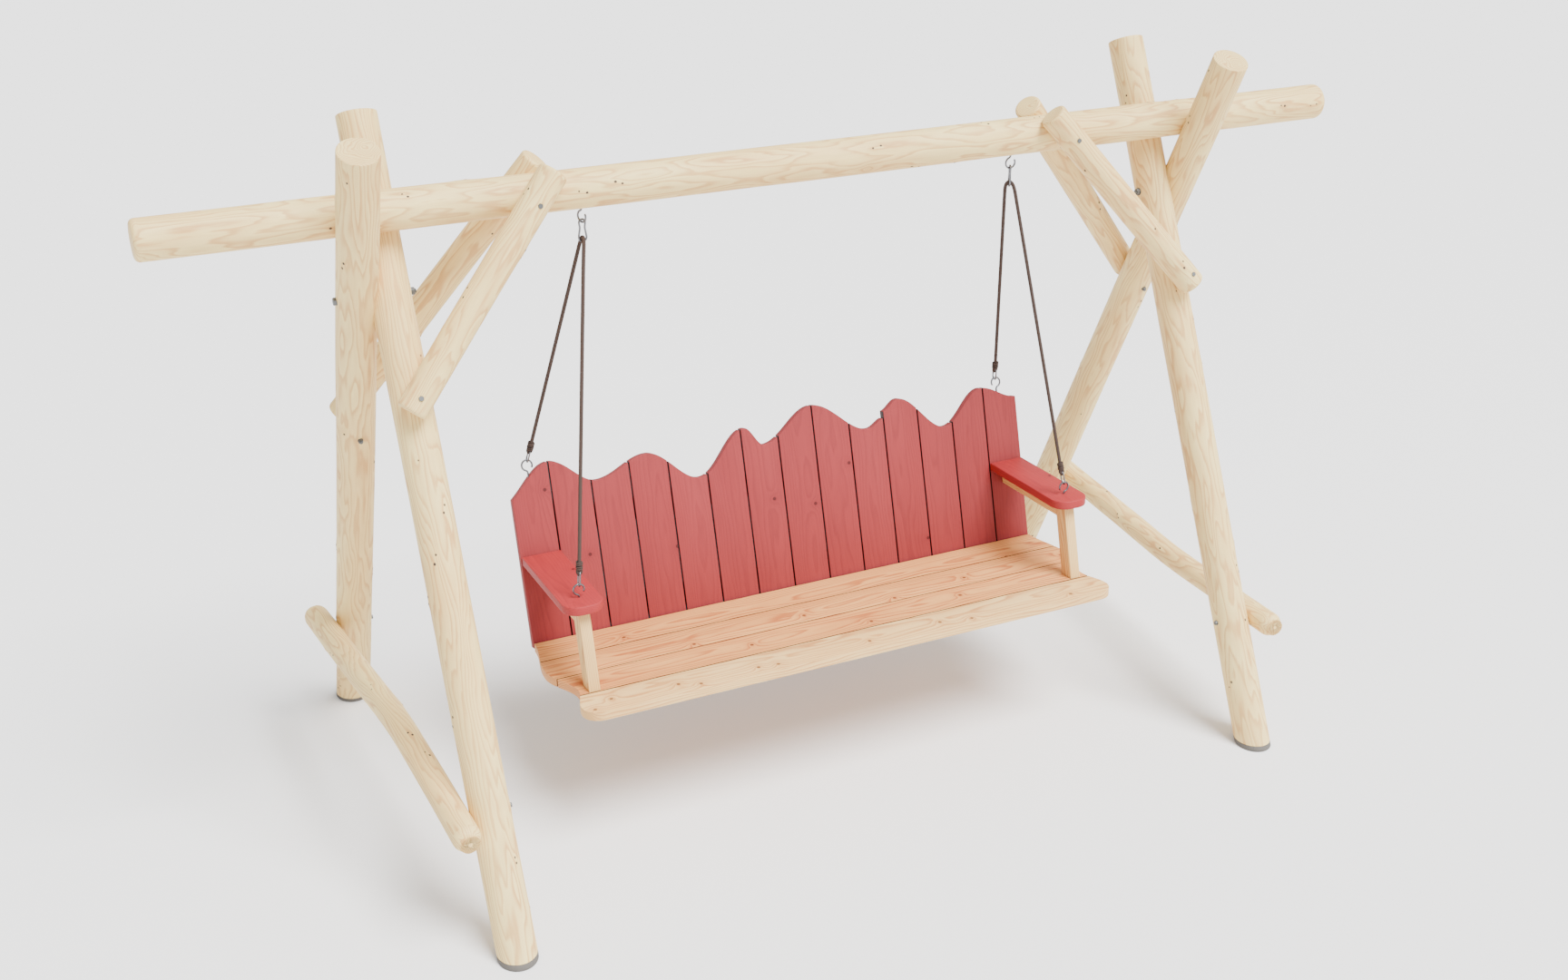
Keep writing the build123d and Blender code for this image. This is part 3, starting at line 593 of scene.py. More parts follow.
def foot_disc(side, foot, sides=64):
    start, up = leg_line(side, foot)
    rings, edge = [], 0.002
    for height, inset in ((0, edge), (edge * 0.4, edge * 0.4), (edge, 0), (pad_height - edge, 0),
                          (pad_height - edge * 0.4, edge * 0.4), (pad_height, edge)):
        centre = start + up * (height / up.z)
        r = beam_radius - inset
        rings.append([centre + Vector((r * math.cos(a), r * math.sin(a) / up.z, 0))
                      for a in (math.tau * j / sides for j in range(sides))])
    return [p for ring in rings for p in ring], ring_faces(len(rings), sides)


verts, faces = gather([foot_disc(side, foot) for side in LEFT_RIGHT for foot in ("front", "back")])
new_piece("rubber_feet", verts, faces, [foot_rubber], "frame", ["foot_pads"], smooth=60)
print("feet:", len(faces), "faces")

# %% [markdown]
# ## Boards with eased edges
# A planed board has flat faces, but its edges are never sharp: a pass with a block plane
# takes them off. That narrow rounded strip catches the light and tells the eye that the
# board is a separate piece, so every board here gets a real one. We draw a board's
# outline, give it thickness, and bevel its edges. Two frames of reference save a lot of
# arithmetic: one lies on the seat, which rises a little to the front, and one stands up
# the leaning backrest.

# %% Frames of reference for the bench
seat_corner = Vector((0, 0.068, 0.440))
seat_lean, back_lean = 3.1, 12.6
seat_frame = Matrix.Translation(seat_corner) @ Matrix.Rotation(math.radians(-seat_lean), 4, "X")
back_frame = seat_frame @ Matrix.Rotation(math.radians(-back_lean), 4, "X")
board_width, board_thick = 0.120, 0.026


def board(name, nodes, outline, base, thickness, along, ease, finishes, heart, seed, soft=None,
          gaps=()):
    """A board from an outline in the base frame's XY plane, thickness down -Z.

    along is the grain's direction in that plane, and heart is where the heart of the tree
    lies across the board and below it. soft picks outline edges that get a large rounding,
    and gaps says which long edges, -1 or 1 across the grain, face another board. Those sides
    take the second finish, a darker one that is painted shade for the narrow gap.
    """
    shape = bmesh.new()
    top = [shape.verts.new((x, y, 0)) for x, y in outline]
    face = shape.faces.new(top)
    if face.normal.z < 0:
        face.normal_flip()
    grown = bmesh.ops.extrude_face_region(shape, geom=[face])
    lower = [v for v in grown["geom"] if isinstance(v, bmesh.types.BMVert)]
    bmesh.ops.translate(shape, verts=lower, vec=(0, 0, -thickness))
    bmesh.ops.recalc_face_normals(shape, faces=shape.faces)
    rims = [e for e in shape.edges if abs(e.verts[0].co.z - e.verts[1].co.z) < 1e-6]
    large = [e for e in rims if soft and soft(*[v.co for v in e.verts])]
    small = [e for e in rims if e not in large]
    posts = [e for e in shape.edges if e not in rims and e.calc_face_angle(0) > 0.6]
    bmesh.ops.bevel(shape, geom=small + posts, offset=ease, segments=3, profile=0.5, affect="EDGES",
                    clamp_overlap=True)
    if large:
        edges = [e for e in shape.edges if e.is_valid and soft(*[v.co for v in e.verts])
                 and abs(e.verts[0].co.z - e.verts[1].co.z) < 1e-6 and e.calc_face_angle(0) > 0.6]
        bmesh.ops.bevel(shape, geom=edges, offset=thickness * 0.36, segments=5, profile=0.5, affect="EDGES",
                        clamp_overlap=True)
    bmesh.ops.triangulate(shape, faces=[f for f in shape.faces if len(f.verts) > 4])
    mesh = bpy.data.meshes.new(name)
    shape.to_mesh(mesh)
    shape.free()
    along = Vector((*along, 0)).normalized()
    across = Vector((-along.y, along.x, 0))
    places = []
    for vertex in mesh.vertices:
        co = vertex.co
        places.append((co.dot(across) - heart[0], co.z + heart[1], co.dot(along) + seed * 3.7))
    set_grain(mesh, places)
    # Sides that face another board take the second finish, which is painted shade for the gap.
    for polygon in mesh.polygons:
        polygon.material_index = int(any(polygon.normal.dot(across) * way > 0.9 for way in gaps))
    mesh.transform(base)
    return dress(name, mesh, finishes, "swing", nodes, smooth=40)


print("seat frame leans", seat_lean, "degrees, the back", seat_lean + back_lean)

# %% [markdown]
# ## The seat
# Four boards run the length of the seat with narrow gaps for rain. Their ends were sawn
# to one long wavy line, so each board's end is a piece of the same curve. The front board
# has its front edge and corners rounded over, where the backs of the knees rest.

# %% Saw the seat boards
seat_end = [(0, 0.868), (0.190, 0.896), (0.347, 0.848), (0.446, 0.873)]
seat_corner_radius = 0.052
seat_gap, seat_back_gap = 0.004, 0.006


def wave(points, at):
    """Height of a line that is level at each of its peaks and hollows."""
    at = min(max(at, points[0][0]), points[-1][0])
    for (x0, h0), (x1, h1) in zip(points, points[1:]):
        if at <= x1:
            return h0 + (h1 - h0) * (1 - math.cos(math.pi * (at - x0) / (x1 - x0))) / 2


def seat_half(depth):
    start, full = seat_end[-1]
    if depth <= start:
        return wave(seat_end, depth)
    drop = min(depth - start, seat_corner_radius)
    return full - seat_corner_radius + math.sqrt(seat_corner_radius**2 - drop**2)


for number in range(4):
    near = seat_back_gap + number * (board_width + seat_gap)
    far = near + board_width
    steps = 14
    depths = [near + (far - near) * math.sin(math.pi / 2 * k / steps) for k in range(steps + 1)]
    right = [(seat_half(d), -d) for d in depths]
    outline = right + [(-x, y) for x, y in reversed(right)]
    front = -seat_end[-1][0] - 0.004
    soft = (lambda a, b: max(a.y, b.y) < front) if number == 3 else None
    # The second finish is painted shade for the sides that face a gap between boards.
    finishes = [front_wood if number == 3 else seat_wood, seat_gap_shade]
    heart = -(near + far) / 2 + 0.012 * (number - 1.5), 0.05 + 0.012 * number
    board(f"seat_plank_{number + 1}", [f"seat_board_{number + 1}"], outline, seat_frame, board_thick, (1, 0),
          0.0012, finishes, heart, 3 + number, soft, gaps=(1,) if number == 3 else (-1, 1))
print("seat planks are", board_width * 1000, "mm wide")

# %% [markdown]
# ## The backrest
# Fourteen upright boards stand side by side, and one wavy line was sawn along all their
# tops at once. The line is level at each peak and hollow and runs smoothly between them;
# between the tenth and eleventh boards it breaks. The boards are stained red, and their
# sides that face a neighbour carry a darker red that is painted shade, so the gaps between them are dark.

# %% Saw the back boards
crest_left = [(-0.915, 0.415), (-0.745, 0.531), (-0.602, 0.450), (-0.438, 0.502), (-0.273, 0.399),
              (-0.110, 0.525), (-0.050, 0.463), (0.126, 0.558), (0.317, 0.452), (0.380, 0.478)]
crest_right = [(0.372, 0.498), (0.432, 0.530), (0.594, 0.413), (0.740, 0.516), (0.872, 0.470)]
back_gap, back_foot, back_count = 0.0045, -0.018, 14
back_face = back_frame @ Matrix.Rotation(math.radians(90), 4, "X")

for number in range(back_count):
    pitch = board_width + back_gap
    start = number * pitch - (back_count * pitch - back_gap) / 2
    line = crest_left if number < 10 else crest_right
    crest = [(start + board_width * k / 20, 0) for k in range(21)]
    crest = [(x, wave(line, x)) for x, _ in crest]
    outline = [(start, back_foot), (start + board_width, back_foot)] + list(reversed(crest))
    inner = {0: (-1,), back_count - 1: (1,)}.get(number, (-1, 1))
    heart = -(start + board_width / 2) + random.uniform(-0.02, 0.02), 0.045 + random.uniform(0, 0.03)
    # The second finish is painted shade for the sides that face a neighbouring board.
    board(f"back_plank_{number + 1:02d}", [f"back_board_{number + 1:02d}"], outline, back_face, board_thick,
          (0, 1), 0.0014, [red_wood, red_gap_shade], heart, 11 + number, gaps=inner)
print(back_count, "back planks")

# %% [markdown]
# ## Armrests
# Each armrest is one wide board with rounded front corners, set on a rail and a post.
# It is stained like the back.

# %% Shape the armrests
arm_top, arm_front, arm_corner = 0.259, -0.357, 0.048
arm_x = (back_count * pitch - back_gap) / 2 - 0.062
arm_back = arm_top * math.tan(math.radians(back_lean))
for side, sign in LEFT_RIGHT.items():
    half = board_width / 2
    corners = []
    for k in range(13):
        a = math.radians(180 + 90 * k / 12)
        corners.append((-half + arm_corner + arm_corner * math.cos(a),
                        arm_front + arm_corner + arm_corner * math.sin(a)))
    outline = [(x + sign * arm_x, y) for x, y in corners + [(-x, y) for x, y in reversed(corners)]]
    outline += [(sign * arm_x + half, arm_back - 0.005), (sign * arm_x - half, arm_back - 0.005)]
    lifted = seat_frame @ Matrix.Translation((0, 0, arm_top))
    board(f"armrest_plank_{side}", [f"armrest_{side}"], outline, lifted, board_thick, (0, 1), 0.0028,
          [red_arm_wood], (-sign * arm_x + 0.02, 0.06), 31 + sign)
print("armrests at", round(arm_x, 3), "m from the middle")

# %% [markdown]
# ## Laths
# Posts, rails, bearers, stiles and battens are sawn from the same lath. Their slanting
# end cuts are already right in the measured model, so we read each part's corners from
# it, wrap a skin round them and ease the edges. That keeps every length the same as the
# part that it stands for.

# %% Wrap and ease each lath
def lath(name, node, finish, seed):
    source = bpy.data.objects[node]
    shape = bmesh.new()
    for vertex in source.data.vertices:
        shape.verts.new(source.matrix_world @ vertex.co)
    hull = bmesh.ops.convex_hull(shape, input=shape.verts)
    bmesh.ops.delete(shape, geom=list({g for g in hull["geom_interior"] + hull["geom_unused"]
                                       if isinstance(g, bmesh.types.BMVert)}), context="VERTS")
    bmesh.ops.remove_doubles(shape, verts=shape.verts, dist=0.0003)
    bmesh.ops.dissolve_limit(shape, angle_limit=math.radians(2), verts=shape.verts, edges=shape.edges)
    longest = max(shape.edges, key=lambda e: e.calc_length())
    along = (longest.verts[1].co - longest.verts[0].co).normalized()
    sharp = [e for e in shape.edges if e.calc_face_angle(0) > 0.3]
    bmesh.ops.bevel(shape, geom=sharp, offset=0.0015, segments=3, profile=0.5, affect="EDGES",
                    clamp_overlap=True)
    mesh = bpy.data.meshes.new(name)
    shape.to_mesh(mesh)
    shape.free()
    side = along.cross(Vector((0, 0, 1)) if abs(along.z) < 0.8 else Vector((1, 0, 0))).normalized()
    other = along.cross(side)
    middle = sum((v.co for v in mesh.vertices), Vector()) / len(mesh.vertices)
    set_grain(mesh, [((v.co - middle).dot(side) + 0.03, (v.co - middle).dot(other) + 0.05,
                      (v.co - middle).dot(along) + seed * 2.9) for v in mesh.vertices])
    return dress(name, mesh, [finish], "swing", [node], smooth=40)


laths = [f"{kind}_{side}" for kind in ("arm_post", "arm_rail") for side in LEFT_RIGHT]
laths += [f"{kind}_{place}" for kind in ("bearer", "stile") for place in ("left", "middle", "right")]
laths += ["batten_lower", "batten_upper"]
for number, node in enumerate(laths):
    lath(f"{node}_lath", node, lath_wood, 40 + number)
print(len(laths), "laths")

# %% [markdown]
# ## Bent wire
# Hooks and links are steel wire bent cold round a former. A bend has the former's radius
# and the runs between bends stay straight, so we describe a link by its corners and its
# bend radii, and a hook by its shank, its shoulder and its ring. A round skin is then
# swept along that line, and the open tip of a hook is rounded off.

# %% Sweep a round skin along a line
def frames_along(line, closed=False):
    """At each point: the direction, and two directions across it that never spin."""
    count = len(line)
    ways = []
    for k in range(count):
        before = line[k - 1] if closed or k else line[0]
        after = line[(k + 1) % count] if closed or k < count - 1 else line[-1]
        ways.append((after - before).normalized())
    guess = Vector((1, 0, 0)) if abs(ways[0].x) < 0.7 else Vector((0, 1, 0))
    side = (guess - ways[0] * guess.dot(ways[0])).normalized()
    found = []
    for way in ways:
        side = (side - way * side.dot(way)).normalized()
        found.append((way, side, way.cross(side)))
    return found


def round_skin(line, radius, sides=16, closed=False, tips=(False, False)):
    """Points and faces of a round bar; radius is a number or a function of (index, angle)."""
    line = [Vector(p) for p in line]
    across = frames_along(line, closed)
    rings = [(p, radius, f) for p, f in zip(line, across)]
    size = radius if isinstance(radius, (int, float)) else radius(0, 0.0)
    for end, wanted in enumerate(tips):
        if wanted:
            at, frame_at = (line[0], across[0]) if end == 0 else (line[-1], across[-1])
            sense = -1 if end == 0 else 1
            cap = [(at + frame_at[0] * (sense * size * math.sin(a)), size * max(0.04, math.cos(a)), frame_at)
                   for a in (math.radians(d) for d in (30, 60, 80, 90))]
            rings = list(reversed(cap)) + rings if end == 0 else rings + cap
    points = []
    for k, (at, r, (_, u, v)) in enumerate(rings):
        for j in range(sides):
            a = math.tau * j / sides
            here = r if isinstance(r, (int, float)) else r(k, a)
            points.append(at + u * (here * math.cos(a)) + v * (here * math.sin(a)))
    return points, ring_faces(len(rings), sides, closed)


def bent_wire(corners, bends, steps=12):
    """A closed line of straight runs and round bends, in the XZ plane."""
    line, count = [], len(corners)
    corners = [Vector((x, 0, z)) for x, z in corners]
    for k, (corner, bend) in enumerate(zip(corners, bends)):
        before = (corners[k - 1] - corner).normalized()
        after = (corners[(k + 1) % count] - corner).normalized()
        half = before.angle(after) / 2
        centre = corner + (before + after).normalized() * (bend / math.sin(half))
        first = corner + before * (bend / math.tan(half)) - centre
        last = corner + after * (bend / math.tan(half)) - centre
        first, last = first.normalized(), last.normalized()
        line += [centre + first.slerp(last, j / steps) * bend for j in range(steps + 1)]
    return line


print("wire helpers are ready")

# %% Bend the hooks
wire_radius, ring_radius, neck, shank = 0.00275, 0.0158, 0.024, 0.045
turn_start, turn_end = math.radians(112), math.radians(385)


def hook_line():
    """A screw hook: the ring's middle is the origin and the shank points up."""
    shoulder = -ring_radius * math.cos(turn_start) / (1 + math.cos(turn_start))
    level = (ring_radius + shoulder) * math.sin(turn_start)
    line = [Vector((0, 0, neck + shank)), Vector((0, 0, neck + 0.002)), Vector((0, 0, level + 0.0001))]
    bend = math.pi - turn_start
    for k in range(1, 9):
        a = bend * k / 8
        line.append(Vector((-shoulder * (1 - math.cos(a)), 0, level - shoulder * math.sin(a))))
    for k in range(1, 61):
        a = turn_start + (turn_end - turn_start) * k / 60
        line.append(Vector((ring_radius * math.cos(a), 0, ring_radius * math.sin(a))))
    return line


def set_hooks(name, node, places, body):
    verts, faces = gather([round_skin([place @ p for p in hook_line()], wire_radius, tips=(False, True))
                           for place in places])
    return new_piece(name, verts, faces, [bright_wire], body, [node], smooth=60)


def spin(degrees, axis):
    return Matrix.Rotation(math.radians(degrees), 4, axis)


hook_spread = 0.675
ring_level = beam_height - beam_radius - neck
hook_yaw = {"left": -68, "right": 0}
top_places = [Matrix.Translation((sign * hook_spread, 0, ring_level)) @ spin(hook_yaw[side], "Z")
              for side, sign in LEFT_RIGHT.items()]
set_hooks("hooks_in_beam", "beam_hooks", top_places, "frame")

hook_lift, arm_hook_y = 0.009, -0.290
bench_places = {}
for side, sign in LEFT_RIGHT.items():
    flip = spin(180, "X") @ spin(0 if side == "left" else 180, "Z")
    rise = wave(crest_left if side == "left" else crest_right, sign * arm_x) + hook_lift + neck
    on_back = Matrix.Translation((sign * arm_x, board_thick / 2, rise))
    on_arm = Matrix.Translation((sign * arm_x, arm_hook_y, arm_top + neck))
    bench_places[side, "back"] = back_frame @ on_back @ flip
    bench_places[side, "front"] = seat_frame @ on_arm @ flip
set_hooks("hooks_in_bench", "bench_hooks", bench_places.values(), "swing")
print("hook rings at", [round(m.translation.z, 3) for m in bench_places.values()])

# %% [markdown]
# ## Links and ropes
# A waisted link hangs in each beam hook, and the middle of a rope lies in the link's wide
# end. Both ends of the rope come down to the bench: one to the back corner, one to the
# armrest. There a short loop is whipped tight round a small link. First come the sizes
# that place each link on its hook.

# %% Hang the links
swing_gap, link_gap, top_link_length = 0.0020, 0.0005, 0.062
link_high = ring_level - ring_radius + 2 * wire_radius + swing_gap
link_low = link_high - top_link_length
waist = link_low + 0.62 * top_link_length
link_yaw = {"left": 0, "right": 70}
for side, sign in LEFT_RIGHT.items():
    line = bent_wire([(-0.0102, link_high), (0.0102, link_high), (0.0068, waist), (0.0136, link_low),
                      (-0.0136, link_low), (-0.0068, waist)], [0.009, 0.009, 0.024, 0.0125, 0.0125, 0.024])
    place = Matrix.Translation((sign * hook_spread, 0, 0)) @ spin(link_yaw[side], "Z")
    verts, faces = round_skin([place @ p for p in line], wire_radius, closed=True)
    new_piece(f"waisted_link_{side}", verts, faces, [bright_wire], "top_links",
              [f"top_link_{side}"], 60)

small_wire, small_length, small_bend = 0.00225, 0.042, 0.0084
rope_radius, rope_over = 0.0055, 0.012


def pull_frame(side, end):
    """Where a bench hook is pulled: origin in its wire, Z up the pull, X along the wire."""
    place = bench_places[side, end]
    square = place.to_3x3() @ Vector((0, 1, 0))
    top = Vector((LEFT_RIGHT[side] * hook_spread, 0, link_low + rope_over))
    pull = (top - place.translation).normalized()
    outward = (pull - square * pull.dot(square)).normalized()
    origin = place.translation + outward * ring_radius
    pull = (top - origin).normalized()
    wire = square.cross(outward)
    wire = (wire - pull * wire.dot(pull)).normalized()
    turned = Matrix((wire, pull.cross(wire), pull)).transposed().to_4x4()
    return Matrix.Translation(origin) @ turned


small_low = -(wire_radius + small_wire) - link_gap
small_high = small_low + small_length
shapes = []
for side, end in bench_places:
    line = bent_wire([(-small_bend, small_low), (small_bend, small_low), (small_bend, small_high),
                      (-small_bend, small_high)], [small_bend * 0.97] * 4)
    place = pull_frame(side, end) @ spin(90, "Z")
    shapes.append(round_skin([place @ p for p in line], small_wire, closed=True))
verts, faces = gather(shapes)
new_piece("small_links", verts, faces, [bright_wire], "swing", ["bench_links"], 60)
print("small links:", len(shapes))

# %% [markdown]
# ## A braided rope
# The rope's middle line is a smooth curve through a few guiding points: a knot, the bend
# over the link, the other knot. We let the curve tell us where it runs, then wrap a skin
# round that line. The braid is two families of strands that wind in opposite directions
# and take turns to pass over each other; the skin rises where a strand is on top.

# %% Braid the two ropes
rope_routes = {
    "left": [(-0.7964, -0.1917, 0.8159), (-0.6863, -0.0269, 1.6209), (-0.675, -0.012, 1.6847),
             (-0.675, 0.012, 1.6847), (-0.6858, 0.0299, 1.6223), (-0.7933, 0.2090, 1.0216)],
    "right": [(0.7964, -0.1917, 0.8159), (0.6949, -0.0186, 1.6206), (0.6863, -0.0041, 1.6847),
              (0.6637, 0.0041, 1.6847), (0.6758, 0.0231, 1.6226), (0.7934, 0.2080, 1.0174)],
}
strands, braid_pitch = 6, 0.036


def smooth_line(name, route):
    """Points that Blender's own curve gives along a route."""
    curve = bpy.data.curves.new(name, "CURVE")
    curve.dimensions = "3D"
    curve.resolution_u = 40
    spline = curve.splines.new("NURBS")
    spline.points.add(len(route) - 1)
    for point, place in zip(spline.points, route):
        point.co = (*place, 1)
    spline.order_u = 3
    spline.use_endpoint_u = True
    guide = bpy.data.objects.new(name, curve)
    mesh = bpy.data.meshes.new_from_object(guide)
    points = [v.co.copy() for v in mesh.vertices]
    bpy.data.objects.remove(guide)
    bpy.data.meshes.remove(mesh)
    return points


def even_line(points, step):
    """The same line with its points a step apart."""
    total = sum((b - a).length for a, b in zip(points, points[1:]))
    count = round(total / step)
    out, walked, k = [points[0]], 0.0, 0
    for n in range(1, count):
        wanted = total * n / count
        while walked + (points[k + 1] - points[k]).length < wanted:
            walked += (points[k + 1] - points[k]).length
            k += 1
        out.append(points[k].lerp(points[k + 1], (wanted - walked) / (points[k + 1] - points[k]).length))
    return out + [points[-1]], total


def braid(step, radius):
    """How far the braided skin stands out at a ring and an angle."""
    def skin(k, angle):
        turn = math.tau * k * step / braid_pitch
        one = math.cos(strands / 2 * (angle + turn))
        two = math.cos(strands / 2 * (angle - turn))
        over = math.sin(strands / 2 * (angle + turn)) * math.sin(strands / 2 * (angle - turn))
        lift = abs(one) if over > 0 else abs(two)
        return radius * (0.91 + 0.09 * lift)
    return skin


rope_step = 0.0016
rope_pieces = {}
for side in LEFT_RIGHT:
    line, total = even_line(smooth_line(f"rope_guide_{side}", rope_routes[side]), rope_step)
    verts, faces = round_skin(line, braid(rope_step, rope_radius), sides=24)
    rope_pieces[side] = (new_piece(f"braided_rope_{side}", verts, faces, [brown_braid], "swing",
                                   [f"rope_{side}"], 80), line, total)
    print(f"rope {side}: {total:.3f} m")

# %% [markdown]
# ## Loops and whippings
# Each rope end is turned back through its small link and bound to itself. The binding is
# thinner line wound tightly in two short groups, which from a distance looks like a
# pair of small knots. We wind a helix for each group and close the loop under them.

# %% Tie the rope ends
loop_radius, knot_length, knot_radius = 0.0092, 0.024, 0.0105
loop_low = small_high - (small_wire + rope_radius) - link_gap
knot_top = loop_low + loop_radius + small_wire + knot_length
knot_low = knot_top - knot_length
whip_radius = 0.0026


def winding(start, turns):
    """A few tight turns round the Z axis that begin at a height."""
    centre = knot_radius - whip_radius
    return [Vector((centre * math.cos(a), centre * math.sin(a), start + whip_radius * 2.05 * a / math.tau))
            for a in (math.tau * turns * k / (turns * 20) for k in range(turns * 20 + 1))]


for side in LEFT_RIGHT:
    for end in ("front", "back"):
        shapes = []
        place = pull_frame(side, end)
        eye = bent_wire([(-loop_radius, loop_low), (loop_radius, loop_low), (0.0028, knot_low + 0.004),
                         (-0.0028, knot_low + 0.004)], [loop_radius * 0.93, loop_radius * 0.93, 0.002, 0.002])
        shapes.append(round_skin([place @ p for p in eye], rope_radius * 0.9, sides=20, closed=True))
        core = [Vector((0, 0, knot_low - 0.002 + (knot_length + 0.003) * k / 12)) for k in range(13)]
        shapes.append(round_skin([place @ p for p in core], rope_radius * 1.02, sides=20))
        for start in (knot_low + 0.0028, knot_low + 0.0150):
            turns = [place @ p for p in winding(start, 2)]
            shapes.append(round_skin(turns, whip_radius, sides=10, tips=(True, True)))
        verts, faces = gather(shapes)
        new_piece(f"whipped_{end}_{side}", verts, faces, [brown_braid], "swing",
                               [f"rope_knots_{side}"], 60)
    rope, line, total = rope_pieces[side]
print("rope ends are tied")

# %% [markdown]
# ## Bolts, coach screws and countersunk screws
# Hexagon heads on washers hold the poles together, and the bolts have nuts on the far
# side. The hexagon's corners are turned down to a ring, which is what makes a bolt head
# look like a bolt head. The bench's screws are countersunk deep in their holes and hardly
# show, so we keep the measured ones and only give them their finish.

# %% Make hexagon fasteners
def disc_stack(rings, sides):
    """A turned shape from (height, radius) pairs along Z, closed at both ends."""
    angles = [math.tau * j / sides for j in range(sides)]
    points = [Vector((r * math.cos(a), r * math.sin(a), z)) for z, r in rings for a in angles]
    return points, ring_faces(len(rings), sides)


def hex_head(flats, height, base):
    """A hexagon whose top corners are turned down; points are 30 degrees apart."""
    half, points, sides = flats / 2, [], 24
    for z, blend in ((base, 0.0), (base + height * 0.78, 0.0), (base + height, 1.0)):
        for j in range(sides):
            a = math.tau * j / sides
            hexagon = half / math.cos((a + math.pi / 6) % (math.pi / 3) - math.pi / 6)
            r = hexagon if blend == 0 else half * 0.95
            points.append(Vector((r * math.cos(a), r * math.sin(a), z)))
    return points, ring_faces(3, sides)


washer_thick = 0.0016


def hex_bolt(seat, way, grip, across, flats, height, nut):
    """A bolt pushed in at seat along way: head and washer, and a nut at the far end."""
    way = Vector(way).normalized()
    place = Matrix.Translation(Vector(seat)) @ (-way).to_track_quat("Z", "Y").to_matrix().to_4x4()
    rim = across * 0.97
    washer = [(0, rim), (washer_thick * 0.7, rim), (washer_thick, rim * 0.95)]
    shapes = [(place, disc_stack(washer, 32)), (place, hex_head(flats, height, washer_thick))]
    if nut:
        far = Matrix.Translation(Vector(seat) + way * grip) @ way.to_track_quat("Z", "Y").to_matrix().to_4x4()
        tip = washer_thick + height + 0.005
        thread = [(0, across * 0.45)]
        for k in range(10):
            z = washer_thick + height * 0.9 + 0.0006 * k
            thread.append((z, across * (0.47 if k % 2 else 0.43)))
        shapes += [(far, disc_stack(washer, 32)), (far, hex_head(flats, height + 0.001, washer_thick)),
                   (far, disc_stack(thread + [(tip, across * 0.38)], 24))]
    return [([place @ p for p in points], faces) for place, (points, faces) in shapes]


small_bolt = dict(across=0.008, flats=0.013, height=0.0055)
big_bolt = dict(across=0.012, flats=0.019, height=0.008)
spot, brace_spot = 0.0015, 0.0040

shapes = []
for side in LEFT_RIGHT:
    top, _ = brace_ends(side, "front")
    reach = -top.y + brace_radius - brace_spot
    shapes += hex_bolt((top.x, -reach, beam_height), (0, 1, 0), 2 * reach, nut=True, **small_bolt)
    for face in ("front", "back"):
        _, low = brace_ends(side, face)
        start, up = leg_line(side, face)
        heart = start + up * (low - start).dot(up)
        inward = (heart - low).normalized()
        grip = (heart - low).length + brace_radius + beam_radius - brace_spot - spot
        shapes += hex_bolt(low + inward * (brace_spot - brace_radius), inward, grip, nut=True, **small_bolt)
verts, faces = gather(shapes)
new_piece("brace_hex_bolts", verts, faces, [dull_zinc], "frame", ["brace_bolts"], 30)

# %% Fit the leg bolts and coach screws
crossings, coaches = [], []
leg_step = (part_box("leg_back_right")[0].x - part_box("leg_front_right")[0].x) / 2
frame_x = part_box("leg_front_right")[0].x + beam_radius + leg_step
outer = leg_step + beam_radius - spot
for side, sign in LEFT_RIGHT.items():
    level = beam_height * foot_reach / (foot_reach + leg_pass)
    seat = sign * (frame_x + outer), 0, level
    crossings += hex_bolt(seat, (-sign, 0, 0), 2 * outer, nut=True, **big_bolt)
    for foot in ("front", "back"):
        start, up = leg_line(side, foot)
        heart = Vector((start.x, 0, beam_height))
        across = start + up * (beam_height / up.z) - heart
        square = (across - up * across.dot(up)).normalized()
        if foot == "front":
            reach = across.dot(square) + beam_radius - spot
            coaches += hex_bolt(heart + square * reach, -square, reach, nut=False, **big_bolt)
        else:
            reach = beam_radius - spot
            coaches += hex_bolt(heart - square * reach, square, reach, nut=False, **big_bolt)
        inner = start + up * (rail_level / up.z) - Vector((sign * (beam_radius - spot), 0, 0))
        coaches += hex_bolt(inner, (sign, 0, 0), beam_radius, nut=False, **small_bolt)
for name, node, shapes in (("crossing_hex_bolts", "crossing_bolts", crossings),
                           ("coach_screw_heads", "coach_screws", coaches)):
    verts, faces = gather(shapes)
    new_piece(name, verts, faces, [dull_zinc], "frame", [node], 30)

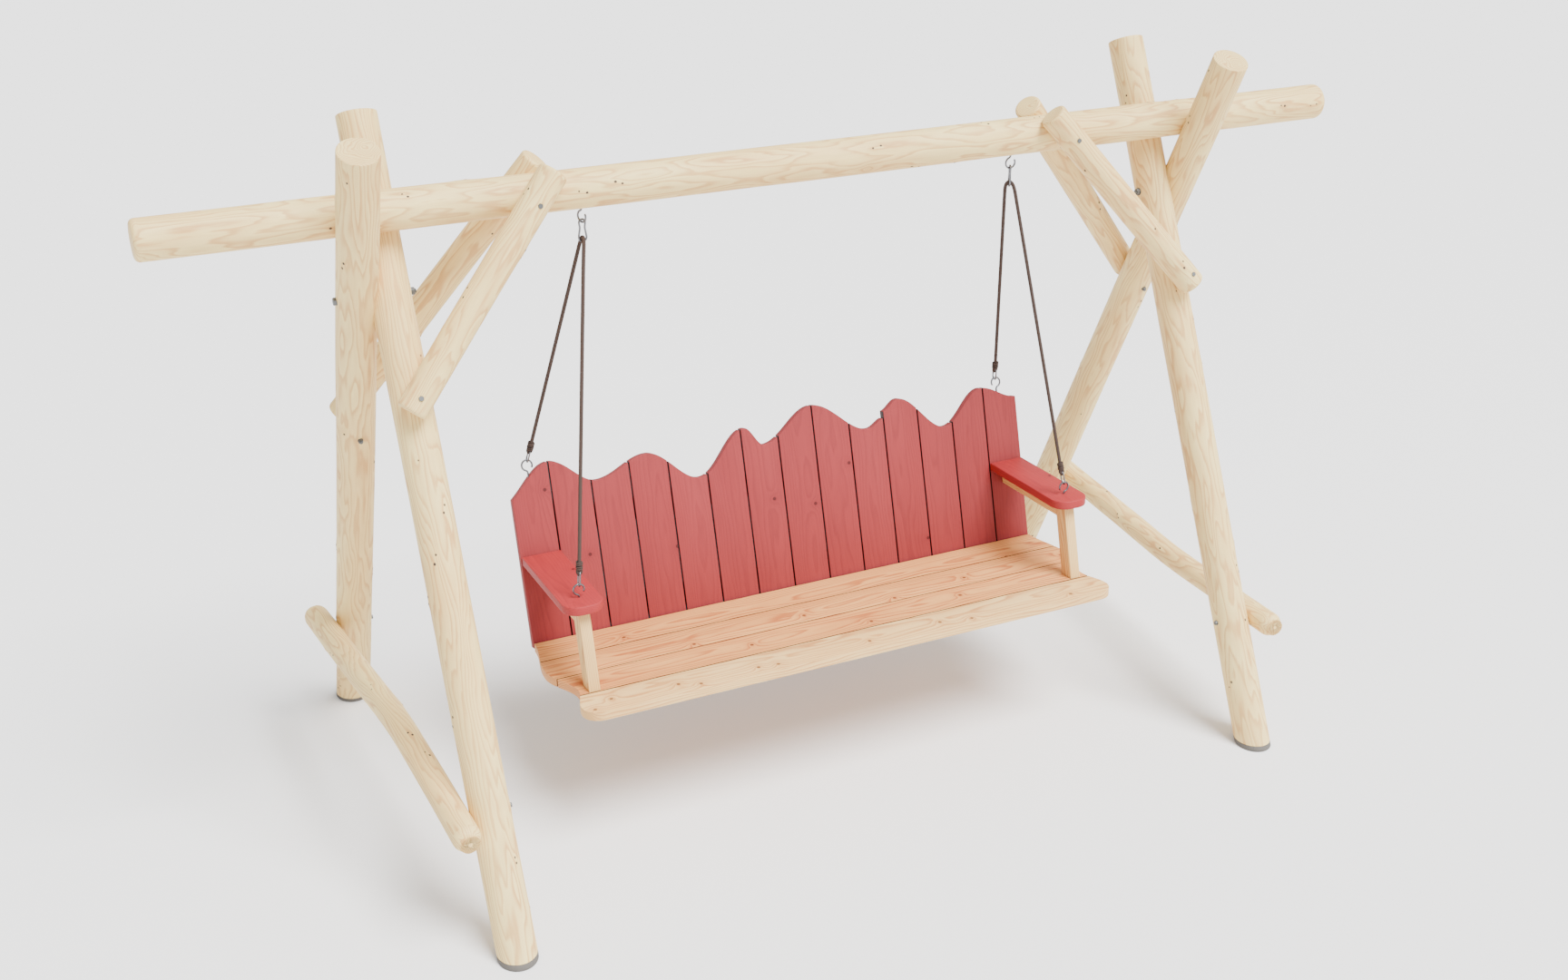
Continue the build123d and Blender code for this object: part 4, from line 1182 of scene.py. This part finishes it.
# %% Finish the bench's own fasteners
lath_thick, bearer_deep = 0.034, 0.070
shapes = []
bearer_sides = ((-0.760, 1), (0.0, 1), (0.760, -1))
bolt_spots = ((0.072, -board_thick - 0.020), (0.098, -board_thick - bearer_deep + 0.018))
for seam, sign in bearer_sides:
    for y, z in bolt_spots:
        seat = seat_frame @ Vector((seam - sign * lath_thick, y, z))
        shapes += hex_bolt(seat, (sign, 0, 0), 2 * lath_thick, nut=True, **small_bolt)
verts, faces = gather(shapes)
new_piece("bench_hex_bolts", verts, faces, [dull_zinc], "swing", ["bench_bolts"], 30)
for node in ("seat_screws", "back_screws", "arm_screws"):
    bpy.data.objects[node].data.materials.clear()
    bpy.data.objects[node].data.materials.append(dull_zinc)
print("fasteners are in")

# %% [markdown]
# ## Floor, light and the last step
# A pale floor and a bright, even surround show the wood without strong shadows. A large
# lamp with wide, soft shadows stands high at the front right. It makes the tops of the
# poles the lightest part and leaves their undersides a shade warmer, and a weaker lamp
# on the same side keeps the near faces from going grey.

# %% Floor and lamps
floor_mesh = bpy.data.meshes.new("floor")
floor_half, floor_level = 40, -0.0005
corners = [(x * floor_half, y * floor_half, floor_level) for x, y in ((-1, -1), (1, -1), (1, 1), (-1, 1))]
floor_mesh.from_pydata(corners, [], [(0, 1, 2, 3)])
floor_finish, _, floor_shader = new_finish("pale_floor")
floor_shader.inputs["Base Color"].default_value = (0.88, 0.88, 0.88, 1)
floor_shader.inputs["Roughness"].default_value = 0.9
floor_shader.inputs["Specular IOR Level"].default_value = 0.1
floor_mesh.materials.append(floor_finish)
floor = bpy.data.objects.new("floor", floor_mesh)
bpy.context.collection.objects.link(floor)

surround = bpy.data.worlds.new("surround")
surround.use_nodes = True
surround.node_tree.nodes["Background"].inputs["Color"].default_value = (1, 1, 1, 1)
surround.node_tree.nodes["Background"].inputs["Strength"].default_value = 0.95
bpy.context.scene.world = surround


def soft_lamp(name, place, aim, size, power):
    lamp = bpy.data.lights.new(name, "AREA")
    lamp.shape, lamp.size, lamp.energy = "DISK", size, power
    made = bpy.data.objects.new(name, lamp)
    made.location = place
    made.rotation_euler = (Vector(aim) - Vector(place)).to_track_quat("-Z", "Y").to_euler()
    bpy.context.collection.objects.link(made)


sky = bpy.data.lights.new("overhead", "SUN")
sky.energy, sky.angle = 8.0, math.radians(32)
overhead = bpy.data.objects.new("overhead", sky)
overhead.rotation_euler = (math.radians(26), math.radians(16), 0)
bpy.context.collection.objects.link(overhead)
soft_lamp("front_right", (5.0, -5.0, 3.5), (0, 0, 1.0), 4.0, 90)
print("lamps are lit")
